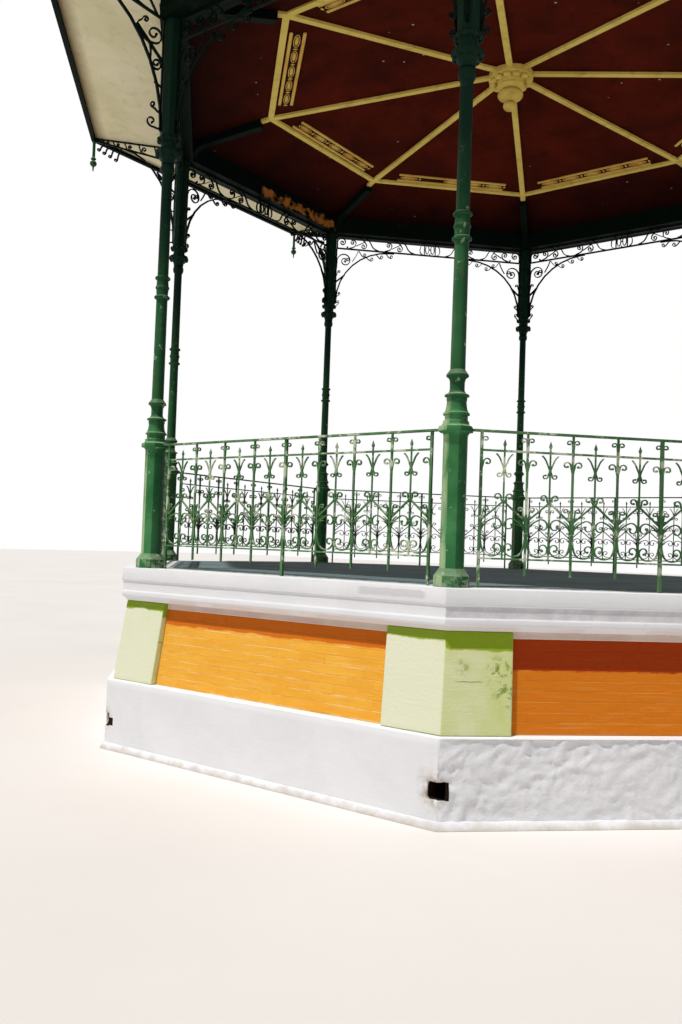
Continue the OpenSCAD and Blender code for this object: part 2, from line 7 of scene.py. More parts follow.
import logging
import math
import random
from dataclasses import dataclass
from enum import Enum
from typing import Callable, Iterable, Sequence

import bmesh
import bpy
from mathutils import Matrix, Vector, geometry, noise


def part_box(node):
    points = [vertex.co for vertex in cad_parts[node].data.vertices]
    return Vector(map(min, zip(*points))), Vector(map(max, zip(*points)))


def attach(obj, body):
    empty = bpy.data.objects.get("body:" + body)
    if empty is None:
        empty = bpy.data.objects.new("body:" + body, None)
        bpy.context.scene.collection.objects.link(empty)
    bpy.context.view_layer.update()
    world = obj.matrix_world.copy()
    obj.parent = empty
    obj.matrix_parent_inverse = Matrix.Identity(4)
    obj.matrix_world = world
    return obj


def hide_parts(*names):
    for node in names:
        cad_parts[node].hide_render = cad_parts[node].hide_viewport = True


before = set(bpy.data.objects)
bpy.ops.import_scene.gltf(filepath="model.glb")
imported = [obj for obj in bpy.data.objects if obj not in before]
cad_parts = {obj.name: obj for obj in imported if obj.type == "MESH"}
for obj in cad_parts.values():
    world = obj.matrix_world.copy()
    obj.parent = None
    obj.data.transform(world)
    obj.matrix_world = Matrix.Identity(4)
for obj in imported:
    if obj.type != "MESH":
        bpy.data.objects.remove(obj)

log = logging.getLogger("bandstand")
Colour = tuple[float, float, float, float]
Socket = bpy.types.NodeSocket


def paint(red: int, green: int, blue: int) -> Colour:
    """Turns a colour, in 0 to 255, into the linear one that a shader takes.

    Args:
        red: red, as a screen shows it.
        green: green.
        blue: blue.

    Returns:
        The linear colour with full alpha.
    """
    def linear(level: float) -> float:
        """One channel, from screen to linear."""
        return level / 12.92 if level <= 0.04045 else ((level + 0.055) / 1.055) ** 2.4

    return (linear(red / 255), linear(green / 255), linear(blue / 255), 1.0)


def spun(degrees: float, axis: str = "Z") -> Matrix:
    """A turn about one axis."""
    return Matrix.Rotation(math.radians(degrees), 4, axis)


def shifted(x: float, y: float, z: float) -> Matrix:
    """A move."""
    return Matrix.Translation((x, y, z))


def sized(x: float, y: float, z: float) -> Matrix:
    """A stretch along the three axes."""
    return Matrix.Diagonal((x, y, z, 1.0))


MIRROR = sized(1.0, -1.0, 1.0)
SUNNY = (-0.2, -1.0, 0.2)


@dataclass(frozen=True)
class Plan:
    """The octagon that every piece is set out on, with its corners and sides numbered from 1."""

    sides: int = 8
    circle: float = 3.85
    floor: float = 1.5

    @property
    def step(self) -> float:
        """The angle from one side to the next."""
        return 360.0 / self.sides

    @property
    def cosine(self) -> float:
        """Apothem for a corner radius of one."""
        return math.cos(math.radians(self.step / 2))

    @property
    def sine(self) -> float:
        """Half a side for a corner radius of one."""
        return math.sin(math.radians(self.step / 2))

    @property
    def tangent(self) -> float:
        """Half a side for an apothem of one."""
        return self.sine / self.cosine

    @property
    def numbers(self) -> range:
        """The numbers of the corners, and of the sides."""
        return range(1, self.sides + 1)

    @property
    def half_side(self) -> float:
        """Half the distance between two neighbouring columns."""
        return self.circle * self.sine

    def side(self, number: int) -> Matrix:
        """Turns +X to the outside of a side, with +Y along it."""
        return spun(-90.0 + self.step * number)

    def out(self, number: int) -> Vector:
        """The direction straight out of a side."""
        return self.side(number).to_3x3() @ Vector((1, 0, 0))

    def corner(self, number: int) -> Matrix:
        """Turns +X outwards through a corner."""
        return spun(-90.0 + self.step * (number - 0.5))

    def between_columns(self, number: int) -> Matrix:
        """The middle of a side, on the floor and on the columns' line."""
        return self.side(number) @ shifted(self.circle * self.cosine, 0.0, self.floor)

    def out_from_axis(self, number: int) -> Matrix:
        """Lays the drawing plane out from the stand's centre through a corner, at floor height."""
        return self.corner(number) @ shifted(0.0, 0.0, self.floor) @ spun(-90.0)


class Path:
    """A line in an upright plane, y along it and z up, made of straights, links and volutes."""

    TURN_STEP = 24.0

    def __init__(self, y: float, z: float, heading: float = 90.0) -> None:
        """Starts the line at (y, z), with a heading of 0 along y and 90 upwards."""
        self.points = [Vector((0.0, y, z))]
        self.heading = heading

    @staticmethod
    def toward(angle: float, reach: float = 1.0) -> Vector:
        """A step of that reach, in the direction of an angle."""
        return Vector((0.0, math.cos(math.radians(angle)), math.sin(math.radians(angle)))) * reach

    def line(self, y: float, z: float) -> "Path":
        """Goes straight to a point."""
        step = Vector((0.0, y, z)) - self.points[-1]
        self.heading = math.degrees(math.atan2(step.z, step.y))
        self.points.append(Vector((0.0, y, z)))
        return self

    def link(self, y: float, z: float, heading: float, pull: float = 0.4, steps: int = 6) -> "Path":
        """Curves to a point and arrives there in a direction.

        Args:
            y: where it goes.
            z: the height there.
            heading: the direction in which it arrives.
            pull: how far it keeps each direction, as a share of the distance.
            steps: how many straight pieces make the curve.

        Returns:
            The path.
        """
        start, end = self.points[-1], Vector((0.0, y, z))
        reach = (end - start).length * pull
        first = start + self.toward(self.heading, reach)
        second = end - self.toward(heading, reach)
        curve = geometry.interpolate_bezier(start, first, second, end, steps + 1)
        self.points += [Vector(point) for point in curve[1:]]
        self.heading = heading
        return self

    def through(self, *stops: Sequence[float]) -> "Path":
        """Goes on to each stop: straight to (y, z), in a curve to (y, z, heading)."""
        for stop in stops:
            if len(stop) == 2:
                self.line(*stop)
            else:
                self.link(*stop)
        return self

    def arc(self, y: float, z: float, width: float, height: float, start: float, end: float) -> "Path":
        """Follows an ellipse about (y, z).

        Args:
            y: centre, along the plane.
            z: centre, upwards.
            width: half the ellipse's width.
            height: half its height.
            start: the angle where the arc starts.
            end: the angle where it ends.

        Returns:
            The path.
        """
        steps = max(2, math.ceil(abs(end - start) / (self.TURN_STEP / 2)))
        for count in range(steps + 1):
            angle = math.radians(start + (end - start) * count / steps)
            point = Vector((0.0, y + width * math.cos(angle), z + height * math.sin(angle)))
            if (point - self.points[-1]).length > 1e-4:
                self.points.append(point)
        self.heading = end + math.copysign(90.0, end - start)
        return self

    def volute(self, y: float, z: float, radius: float, angle: float, turn: float,
               eye: float = 0.34) -> "Path":
        """Links to a circle about (y, z) and curls in towards its eye.

        Args:
            y: the eye, along the plane.
            z: the eye, upwards.
            radius: the curl's radius where it starts.
            angle: the angle on the circle where it starts.
            turn: how far it turns, positive for counter-clockwise.
            eye: its last radius, as a share of the first.

        Returns:
            The path.
        """
        centre = Vector((0.0, y, z))
        entry = centre + self.toward(angle, radius)
        heading = angle + math.copysign(90.0, turn)
        if (entry - self.points[-1]).length > 0.003:
            self.link(entry.y, entry.z, heading)
        steps = math.ceil(abs(turn) / self.TURN_STEP)
        for count in range(1, steps + 1):
            share = count / steps
            reach = radius * (eye + (1 - eye) * (1 - share) ** 1.35)
            self.points.append(centre + self.toward(angle + turn * share, reach))
        self.heading = heading + turn
        return self


class Bench:
    """A bmesh on which one piece, or a motif for it, is made."""

    def __init__(self) -> None:
        """Clears the bench."""
        self.bm = bmesh.new()

    def bar(self, path: Path, depth: float, thick: float, tip: float = 1.0) -> None:
        """Draws a flat bar out along a path.

        Args:
            path: the line it follows.
            depth: its size across the drawing plane.
            thick: its size in the plane.
            tip: its thickness at the end, as a share of thick.
        """
        verts = bmesh.ops.create_grid(self.bm, x_segments=1, y_segments=1, size=0.5)["verts"]
        face = verts[0].link_faces[0]
        before = Matrix.Identity(4)
        last = len(path.points) - 1
        for count, point in enumerate(path.points):
            along = (path.points[min(count + 1, last)] - path.points[max(count - 1, 0)]).normalized()
            width = thick * (1 + (tip - 1) * count / last)
            station = Matrix((
                (depth, 0.0, 0.0, point.x),
                (0.0, -along.z * width, along.y, point.y),
                (0.0, along.y * width, along.z, point.z),
                (0.0, 0.0, 0.0, 1.0)))
            if count:
                drawn = bmesh.ops.extrude_face_region(self.bm, geom=[face])["geom"]
                verts = [item for item in drawn if isinstance(item, bmesh.types.BMVert)]
                face = next(item for item in drawn if isinstance(item, bmesh.types.BMFace))
            bmesh.ops.transform(self.bm, matrix=station @ before.inverted(), verts=verts)
            before = station

    def scroll(self, path: Path, depth: float, thick: float, boss: float = 0.85) -> None:
        """Draws a bar that thins towards its eye and ends there in a round boss."""
        self.bar(path, depth, thick, 0.75)
        eye = path.points[-1]
        self.disc(eye.y, eye.z, thick * boss, depth * 1.12)

    def disc(self, y: float, z: float, radius: float, depth: float, edges: int = 8) -> None:
        """Sets a round boss across the drawing plane."""
        bmesh.ops.create_cone(
            self.bm, cap_ends=True, segments=edges, radius1=radius, radius2=radius, depth=depth,
            matrix=shifted(0.0, y, z) @ spun(90.0, "Y"))

    def bevel(self, edges: list[bmesh.types.BMEdge], width: float, segments: int = 1,
              clamp: bool = False) -> None:
        """Bevels edges by a width, held back where it would overlap if clamp is set."""
        bmesh.ops.bevel(self.bm, geom=edges, offset=width, offset_type="OFFSET", affect="EDGES",
                        segments=segments, profile=0.5, material=-1, clamp_overlap=clamp)

    def block(self, size: Sequence[float], where: Matrix, chamfer: float = 0.0) -> None:
        """Sets a rectangular block about a place, with its edges chamfered if asked."""
        made = bmesh.ops.create_cube(self.bm, size=1.0, matrix=where @ sized(*size))
        if chamfer:
            self.bevel(list({edge for vert in made["verts"] for edge in vert.link_edges}), chamfer)

    def ball(self, centre: Sequence[float], size: Sequence[float], edges: int = 10,
             rings: int = 6) -> None:
        """Sets a ball, stretched to its three half sizes."""
        bmesh.ops.create_uvsphere(self.bm, u_segments=edges, v_segments=rings, radius=1.0,
                                  matrix=shifted(*centre) @ sized(*size))

    def balls_round(self, count: int, radius: float, height: float, size: Sequence[float],
                    edges: int = 10, start: float = 0.0) -> None:
        """Sets balls in a ring about the upright axis.

        Args:
            count: how many.
            radius: the ring's radius.
            height: the ring's height.
            size: the three half sizes of a ball.
            edges: how many straight pieces go round a ball.
            start: where the first one stands, as a share of the step between two.
        """
        for number in range(count):
            angle = math.tau * (number + start) / count
            self.ball((radius * math.cos(angle), radius * math.sin(angle), height), size, edges)

    def spear(self, y: float, z: float, width: float, length: float) -> None:
        """Sets a four-sided spear head with its widest part at height z."""
        low = 0.35 * length
        high = length - low
        for foot, head, depth, middle in ((width * 0.3, width, low, z - low / 2),
                                          (width, 0.0005, high, z + high / 2)):
            bmesh.ops.create_cone(self.bm, cap_ends=True, segments=4, radius1=foot, radius2=head, depth=depth,
                                  matrix=shifted(0.0, y, middle) @ sized(0.7, 1.0, 1.0) @ spun(45.0))

    def ring(self, profile: Sequence[tuple[float, float]], sides: int) -> None:
        """Turns a closed profile into a ring with flat sides and corners like the stand's.

        Args:
            profile: corner radius and height of each point, all round.
            sides: how many sides the ring has.
        """
        before = set(self.bm.verts)
        verts = [self.bm.verts.new((radius, 0.0, height)) for radius, height in profile]
        edges = [self.bm.edges.new(pair) for pair in zip(verts, verts[1:] + verts[:1])]
        bmesh.ops.spin(self.bm, geom=verts + edges, cent=(0, 0, 0), axis=(0, 0, 1), angle=math.tau,
                       steps=sides, use_merge=True)
        made = [vert for vert in self.bm.verts if vert not in before]
        bmesh.ops.transform(self.bm, matrix=spun(180.0 / sides), verts=made)
        faces = list({face for vert in made for face in vert.link_faces})
        bmesh.ops.recalc_face_normals(self.bm, faces=faces)

    def place(self, motif: bpy.types.Mesh, where: Matrix) -> None:
        """Copies a motif on to the bench."""
        copy = motif.copy()
        copy.transform(where)
        self.bm.from_mesh(copy)
        bpy.data.meshes.remove(copy)

    def spread(self, motif: bpy.types.Mesh, places: Iterable[Matrix]) -> None:
        """Copies a motif to each place and then throws it away."""
        for where in places:
            self.place(motif, where)
        bpy.data.meshes.remove(motif)

    def take(self, node: str) -> None:
        """Copies a frame node, merged and with its flat faces made whole."""
        self.bm.from_mesh(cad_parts[node].data)
        bmesh.ops.remove_doubles(self.bm, verts=self.bm.verts[:], dist=1e-5)
        bmesh.ops.dissolve_limit(self.bm, angle_limit=math.radians(1.0), verts=self.bm.verts[:],
                                 edges=self.bm.edges[:])

    def soften(self, width: float, sharper: float = 25.0, segments: int = 2) -> None:
        """Rounds every edge that is sharper than an angle."""
        edges = [edge for edge in self.bm.edges
                 if len(edge.link_faces) == 2 and edge.calc_face_angle() > math.radians(sharper)]
        self.bevel(edges, width, segments, True)

    def motif(self, name: str) -> bpy.types.Mesh:
        """Takes what is on the bench off it as a mesh to copy."""
        bmesh.ops.recalc_face_normals(self.bm, faces=self.bm.faces[:])
        mesh = bpy.data.meshes.new(name)
        self.bm.to_mesh(mesh)
        self.bm.free()
        return mesh

    def piece(self, name: str, material: bpy.types.Material, slot: str, stands_for: Sequence[str] = (),
              smooth: float = 0.0) -> bpy.types.Object:
        """Takes the finished piece off the bench and fixes it to the stand.

        Args:
            name: the piece's name.
            material: its finish.
            slot: the record's slot for that finish; not used.
            stands_for: the frame's nodes that it is shown instead of.
            smooth: edges flatter than this angle are shaded smooth.

        Returns:
            The object.
        """
        mesh = self.motif(name)
        mesh.materials.append(material)
        if smooth:
            mesh.polygons.foreach_set("use_smooth", [True] * len(mesh.polygons))
            mesh.set_sharp_from_angle(angle=math.radians(smooth))
        item = bpy.data.objects.new(name, mesh)
        bpy.context.scene.collection.objects.link(item)
        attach(item, "root")
        if stands_for:
            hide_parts(*stands_for)
        log.info("%s: %d faces", name, len(mesh.polygons))
        return item


@dataclass(frozen=True)
class Forging:
    """One forged bar, drawn with y along its plane and z up.

    Its points are its start and what it goes through, each (y, z) for a straight or (y, z, heading) for
    a curve. A scroll also has an eye, as Path.volute takes it. Any other bar may thin to its tip.
    """

    thick: float
    points: tuple[tuple[float, ...], ...]
    eye: tuple[float, ...] = ()
    tip: float = 1.0

    def forge(self, bench: Bench, depth: float, along: float = 0.0) -> None:
        """Makes the bar on a bench, moved along the plane if asked."""
        path = Path(*self.points[0]).through(*self.points[1:])
        if self.eye:
            path.volute(*self.eye)
        for point in path.points:
            point.y += along
        if self.eye:
            bench.scroll(path, depth, self.thick)
        else:
            bench.bar(path, depth, self.thick, self.tip)


class Wiring:
    """Short ways to wire a node tree."""

    def __init__(self, owner: bpy.types.Material | bpy.types.World) -> None:
        """Starts with the owner's tree emptied."""
        owner.use_nodes = True
        self.tree = owner.node_tree
        self.tree.nodes.clear()

    def add(self, kind: str, inputs: dict[str, object] | None = None, **values: object) -> bpy.types.Node:
        """Adds a node and sets its inputs and its properties."""
        node = self.tree.nodes.new(kind)
        for key, value in values.items():
            setattr(node, key, value)
        for key, value in (inputs or {}).items():
            self.feed(node.inputs[key], value)
        return node

    def wire(self, source: Socket, target: Socket) -> None:
        """Joins two sockets."""
        self.tree.links.new(source, target)

    def feed(self, target: Socket, value: object) -> None:
        """Gives a socket a link or a plain value."""
        if isinstance(value, bpy.types.NodeSocket):
            self.wire(value, target)
        else:
            target.default_value = value

    def sums(self, kind: str, first: object, second: object = 0.5) -> Socket:
        """One sum of two numbers."""
        node = self.add("ShaderNodeMath", operation=kind)
        self.feed(node.inputs[0], first)
        self.feed(node.inputs[1], second)
        return node.outputs[0]


class Graph(Wiring):
    """Short ways to wire a material."""

    def __init__(self, name: str) -> None:
        """Starts a material with one shader, read in object coordinates."""
        self.material = bpy.data.materials.new(name)
        super().__init__(self.material)
        self.shader = self.add("ShaderNodeBsdfPrincipled")
        self.wire(self.shader.outputs[0], self.add("ShaderNodeOutputMaterial").inputs[0])
        self.object_place = self.add("ShaderNodeTexCoord").outputs["Object"]
        self.normal = self.add("ShaderNodeNewGeometry").outputs["Normal"]

    def noise(self, scale: float, detail: float = 3.0, rough: float = 0.55, warp: float = 0.0,
              stretch: Sequence[float] = ()) -> Socket:
        """Cloudy noise.

        Args:
            scale: cells in a metre.
            detail: octaves.
            rough: strength of each finer octave.
            warp: how far it is swirled.
            stretch: how much finer it is along each axis, if it isn't even.

        Returns:
            A socket from 0 to 1, mostly near the middle.
        """
        place = self.object_place
        if stretch:
            place = self.add("ShaderNodeMapping", {"Vector": place, "Scale": stretch}).outputs[0]
        grain = {"Vector": place, "Scale": scale, "Detail": detail, "Roughness": rough, "Distortion": warp}
        return self.add("ShaderNodeTexNoise", grain).outputs["Fac"]

    def cloud(self, grain: Sequence[float], limits: Sequence[float], stretch: Sequence[float] = ()) -> Socket:
        """Noise cut off at both ends.

        Args:
            grain: scale, detail, roughness and warp of the noise.
            limits: where it is cut off, and what the two ends become if not 0 and 1.
            stretch: how much finer it is along each axis, if it isn't even.

        Returns:
            The socket.
        """
        return self.span(self.noise(*grain, stretch=stretch), *limits)

    def cells(self, scale: float, feature: str = "F1") -> Socket:
        """Distance to scattered points, or to the edges between them."""
        inputs = {"Vector": self.object_place, "Scale": scale}
        return self.add("ShaderNodeTexVoronoi", inputs, feature=feature).outputs["Distance"]

    def span(self, value: Socket, low: float, high: float, start: float = 0.0, end: float = 1.0) -> Socket:
        """Stretches low..high to start..end and clips the rest."""
        inputs = {"Value": value, "From Min": low, "From Max": high, "To Min": start, "To Max": end}
        return self.add("ShaderNodeMapRange", inputs, clamp=True).outputs["Result"]

    def mix(self, share: object, first: object, second: object) -> Socket:
        """Mixes two colours."""
        node = self.add("ShaderNodeMix", {"Factor": share}, data_type="RGBA")
        colours = [socket for socket in node.inputs if socket.type == "RGBA"]
        self.feed(colours[0], first)
        self.feed(colours[1], second)
        return next(socket for socket in node.outputs if socket.type == "RGBA")

    def times(self, first: object, *others: object) -> Socket:
        """The product of some shares."""
        for other in others:
            first = self.sums("MULTIPLY", first, other)
        return first

    def coats(self, base: object, *layers: Sequence[object]) -> Socket:
        """Lays coats over a base colour.

        Args:
            base: the colour underneath.
            layers: a colour for each coat, followed by the shares whose product says how far it covers.

        Returns:
            The colour on top.
        """
        for colour, *shares in layers:
            base = self.mix(self.times(*shares), base, colour)
        return base

    def axis(self, letter: str, source: Socket | None = None) -> Socket:
        """One coordinate of a vector, the place's own if none is given."""
        node = self.add("ShaderNodeSeparateXYZ")
        self.wire(source or self.object_place, node.inputs[0])
        return node.outputs[letter]

    def facing(self, direction: Sequence[float]) -> Socket:
        """How squarely the surface faces a direction, 1 when straight at it."""
        node = self.add("ShaderNodeVectorMath", operation="DOT_PRODUCT")
        self.wire(self.normal, node.inputs[0])
        node.inputs[1].default_value = Vector(direction).normalized()
        return node.outputs["Value"]

    def octagon(self) -> Socket:
        """Distance from the axis, measured square to the nearest of eight sides."""
        across = self.sums("ABSOLUTE", self.axis("X"))
        along = self.sums("ABSOLUTE", self.axis("Y"))
        diagonal = self.sums("MULTIPLY", self.sums("ADD", across, along), math.sqrt(0.5))
        return self.sums("MAXIMUM", self.sums("MAXIMUM", across, along), diagonal)

    def between(self, value: Socket, low: float, high: float, soft: float = 0.012) -> Socket:
        """One between two numbers and none outside them, with a soft edge."""
        return self.times(self.span(value, low, low + soft), self.span(value, high, high - soft))

    def wavering(self, height: Socket, grain: Sequence[float], limits: Sequence[float],
                 reach: float) -> Socket:
        """A height that noise of that grain, cut off at those limits, moves up and down by the reach."""
        return self.sums("ADD", height, self.cloud(grain, (*limits, -reach, reach)))

    def lee(self) -> Socket:
        """One on faces turned away from the sunny side, none on those towards it."""
        return self.span(self.facing(SUNNY), 0.55, 0.90, 1.0, 0.0)

    def cornice_shadow_strip(self, lee: Socket, drop: float, ragged: float, edge: float) -> Socket:
        """One in the strip where the cornice's shadow falls, used to paint that shadow into colours; it
        reaches lower in the lee.

        Args:
            lee: one in the lee.
            drop: how much lower it reaches there.
            ragged: how far its edge wavers.
            edge: its height above the ground on the sunny side.

        Returns:
            A socket from 0 to 1.
        """
        lowered = self.sums("ADD", self.axis("Z"), self.times(lee, drop))
        return self.span(self.wavering(lowered, (4.0, 4.0, 0.6), (0.3, 0.7), ragged), edge, edge + 0.010)

    def attribute(self, name: str) -> Socket:
        """A number stored on the mesh."""
        return self.add("ShaderNodeAttribute", attribute_name=name).outputs["Fac"]

    def finish(self, colour: Socket, rough: object, relief: Socket | None = None, depth: float = 0.002,
               metallic: float = 0.0, specular: float = 0.15) -> bpy.types.Material:
        """Wires the shader.

        Args:
            colour: the base colour.
            rough: the roughness.
            relief: the height for the bump.
            depth: the height, in metres, that a relief of one stands for.
            metallic: the metallic share.
            specular: the strength of the sheen, 0.5 for bare varnish.

        Returns:
            The material.
        """
        for key, value in (("Base Color", colour), ("Roughness", rough), ("Metallic", metallic),
                           ("Specular IOR Level", specular)):
            self.feed(self.shader.inputs[key], value)
        if relief is not None:
            bump = self.add("ShaderNodeBump", {"Strength": 1.0, "Distance": depth, "Height": relief})
            self.wire(bump.outputs[0], self.shader.inputs["Normal"])
        return self.material


@dataclass(frozen=True)
class Limewash:
    """White lime wash over trowelled render, worn on its edges and a little dirty at the foot."""

    white: Colour = paint(237, 238, 242)
    shade: Colour = paint(222, 222, 227)
    bare: Colour = paint(196, 186, 176)
    pink: Colour = paint(222, 206, 200)
    earth: Colour = paint(176, 162, 142)
    rust: Colour = paint(150, 122, 84)
    grey: Colour = paint(203, 200, 206)
    foot: tuple[float, float] = (0.0, 0.045)
    slab: tuple[float, float] = (1.418, 1.480)
    slab_patch: tuple[float, float] = (0.86, 1.43)
    band: tuple[float, float] = (1.300, 1.400)
    # Heights of the grey band that is painted shade under the top slab, on the lee faces only.
    pink_band: tuple[float, float] = (1.215, 1.262)

    def material(self, name: str) -> bpy.types.Material:
        """Mixes the wash: clouds of white, worn patches, a grey band painted as shade under the cornice's top
        slab on the lee side, and a dirty foot.
        """
        graph = Graph(name)
        brushed = graph.cloud((20.0, 3.0, 0.6, 0.4), (0.4, 0.75), (0.4, 0.4, 1.6))
        height = graph.axis("Z")
        wavy = graph.wavering(height, (12.0, 3.0), (0.2, 0.8), 0.008)
        front = graph.span(graph.facing((0.0, -1.0, 0.0)), 0.8, 0.9)
        lee = graph.span(graph.facing((0.7, -0.7, 0.0)), 0.85, 0.95)
        foot = graph.span(graph.wavering(height, (9.0, 4.0), (0.2, 0.8), 0.03), *self.foot, 0.6, 0.0)
        colour = graph.coats(
            self.white,
            (self.shade, graph.cloud((1.6, 5.0, 0.6, 0.6), (0.42, 0.68)), 0.45),
            (self.shade, brushed, 0.15),
            (self.bare, graph.cloud((5.5, 6.0, 0.68, 0.3), (0.66, 0.74)), 0.40),
            (self.grey, graph.between(wavy, *self.slab),
             graph.between(graph.axis("X"), *self.slab_patch, 0.04), front, 0.7),
            # painted shade: grey in the recess under the top slab on the lee faces, in patchy strength
            (self.grey, graph.between(wavy, *self.band), lee,
             graph.cloud((9.0, 5.0, 0.65), (0.35, 0.60, 0.3, 0.8))),
            (self.pink, graph.between(height, *self.pink_band, 0.008),
             graph.cloud((1.3, 2.0, 0.5, 0.2), (0.44, 0.50), (1.0, 1.0, 0.3)), 0.5),
            (self.earth, foot),
            (self.rust, graph.attribute("stain"), graph.cloud((24.0, 4.0), (0.36, 0.60)), 0.8))
        coarse = graph.times(graph.attribute("rough"), graph.noise(15.0, 4.0, 0.6, 0.5), 0.6)
        fine = graph.sums("ADD", graph.noise(60.0, 5.0, 0.65), graph.times(brushed, 0.3))
        return graph.finish(colour, 0.86, graph.sums("ADD", graph.times(fine, 0.12), coarse), 0.012)


@dataclass(frozen=True)
class PilasterWash:
    """Yellow-green wash on the leaning corners, paler on the sunny face as painted light, partly
    sun-bleaching, with the cornice's painted shadow under its head, moss and cracks.
    """

    pale: Colour = paint(222, 226, 182)
    deep: Colour = paint(206, 214, 140)
    # Painted light: the paler tone on faces towards the sun, partly sun-bleaching.
    sunlit_pale: Colour = paint(232, 233, 212)
    moss: Colour = paint(122, 148, 50)
    crack: Colour = paint(120, 122, 74)
    # Painted shadow: the green of the strip that the cornice shades.
    cornice_shadow: Colour = paint(140, 168, 16)
    crack_z: float = 0.905

    def material(self, name: str) -> bpy.types.Material:
        """Mixes the wash, with brushed streaks, one crack across, mossy chips at the worn places, painted
        light on the sunny face and the cornice's painted shadow.
        """
        graph = Graph(name)
        streaks = graph.cloud((9.0, 4.0, 0.6, 0.1), (0.38, 0.70), (0.6, 0.6, 7.0))
        above = graph.sums("SUBTRACT", graph.axis("Z"), self.crack_z)
        level = graph.sums("ABSOLUTE", graph.wavering(above, (6.0, 3.0), (0.2, 0.8), 0.012))
        broken = graph.times(graph.lee(), graph.cloud((2.6, 2.0), (0.46, 0.54)))
        cracks = graph.times(graph.span(level, 0.0015, 0.0045, 1.0, 0.0), broken)
        chips = graph.times(graph.attribute("worn"), graph.cloud((19.0, 4.0, 0.66, 0.4), (0.50, 0.60)))
        colour = graph.coats(
            self.pale,
            (self.deep, graph.cloud((2.2, 5.0, 0.62, 0.5), (0.36, 0.66))),
            (self.deep, streaks, 0.25),
            # painted light on the faces towards the sun, then the cornice's painted shadow as a green strip
            (self.sunlit_pale, graph.span(graph.facing(SUNNY), 0.86, 0.95, 0.0, 0.75)),
            (self.cornice_shadow, graph.cornice_shadow_strip(graph.lee(), 0.055, 0.016, 1.152), 0.95),
            (self.crack, cracks, 0.75),
            (self.moss, chips, 0.9))
        relief = graph.sums("SUBTRACT", graph.noise(48.0, 5.0, 0.65), graph.sums("ADD", cracks, chips))
        return graph.finish(colour, 0.85, graph.sums("ADD", relief, graph.times(streaks, 0.2)), 0.0026)


@dataclass(frozen=True)
class PanelPaint:
    """Paint on the brick panels, with the cornice's shadow painted into it as a deeper strip."""

    # Painted shadow of the cornice: on the sunny side, and deeper in the lee.
    cornice_shadow: Colour = paint(206, 96, 14)
    deep_cornice_shadow: Colour = paint(164, 44, 4)

    def add_cornice_shadow(self, graph: Graph, colour: Socket, lee: Socket) -> Socket:
        """Paints the cornice's shadow into a colour as that deeper strip, darker in the lee."""
        strip = graph.cornice_shadow_strip(lee, 0.085, 0.010, 1.052)
        return graph.coats(colour, (graph.mix(lee, self.cornice_shadow, self.deep_cornice_shadow), strip, 0.88))


@dataclass(frozen=True)
class PaintedBrick(PanelPaint):
    """Brickwork under thick orange paint, with rubbed courses and pale stains that run down."""

    orange: Colour = paint(243, 182, 66)
    deep: Colour = paint(236, 162, 46)
    # Painted shade: the darker orange of panels turned away from the sun.
    shaded: Colour = paint(210, 108, 12)
    pale: Colour = paint(244, 204, 138)
    stain: Colour = paint(238, 212, 176)

    def material(self, name: str) -> bpy.types.Material:
        """Mixes the paint: a tone for each brick, streaks along the courses and stains, darker in the lee as
        painted shade, with the cornice's painted shadow.
        """
        graph = Graph(name)
        lee = graph.attribute("lee")
        colour = graph.coats(
            self.orange,
            (self.deep, graph.attribute("tone"), 0.5),
            (self.deep, graph.cloud((3.0, 5.0, 0.6, 0.3), (0.35, 0.68)), 0.4),
            # painted shade on the panels turned from the sun
            (self.shaded, lee, 0.85),
            (self.pale, graph.cloud((5.0, 4.0, 0.6, 0.0), (0.56, 0.74), (0.5, 0.5, 9.0)),
             graph.span(lee, 0.0, 1.0, 0.38, 0.15)),
            (self.stain, graph.cloud((1.0, 3.0, 0.6, 0.0), (0.64, 0.74), (3.2, 3.2, 0.35)),
             graph.cloud((16.0,), (0.36, 0.6)), 0.6))
        waves = graph.noise(4.0, 3.0, 0.55, 0.3, (0.8, 0.8, 3.8))
        relief = graph.sums("ADD", graph.noise(70.0, 5.0, 0.7), graph.times(graph.noise(18.0, 3.0), 1.5))
        relief = graph.sums("ADD", relief, graph.times(waves, 3.0))
        return graph.finish(self.add_cornice_shadow(graph, colour, lee), 0.78, relief, 0.0022)


@dataclass(frozen=True)
class PaintedMortar(PanelPaint):
    """Joints between the bricks, painted over and rubbed paler than the bricks."""

    painted: Colour = paint(236, 172, 76)
    bare: Colour = paint(244, 206, 142)
    # Painted shade: the darker tone of joints on faces turned from the sun.
    shaded: Colour = paint(222, 132, 34)

    def material(self, name: str) -> bpy.types.Material:
        """Mixes painted and rubbed mortar in long patches, darker in the lee as painted shade, with the
        cornice's painted shadow.
        """
        graph = Graph(name)
        lee = graph.lee()
        patch = graph.cloud((4.5, 4.0, 0.6, 0.0), (0.46, 0.56), (1.0, 1.0, 3.0))
        colour = graph.coats(self.painted, (self.bare, patch), (self.shaded, lee, 0.9))
        return graph.finish(self.add_cornice_shadow(graph, colour, lee), 0.9, graph.noise(80.0, 4.0), 0.002)


@dataclass(frozen=True)
class BeigeFillet:
    """The bare, pinkish band of render above the bricks."""

    beige: Colour = paint(224, 210, 196)
    pink: Colour = paint(214, 190, 182)

    def material(self, name: str) -> bpy.types.Material:
        """Mixes two tones in long clouds."""
        graph = Graph(name)
        colour = graph.mix(graph.cloud((3.0, 5.0, 0.6, 0.3), (0.38, 0.64)), self.beige, self.pink)
        return graph.finish(colour, 0.88, graph.noise(60.0, 5.0, 0.65), 0.002)


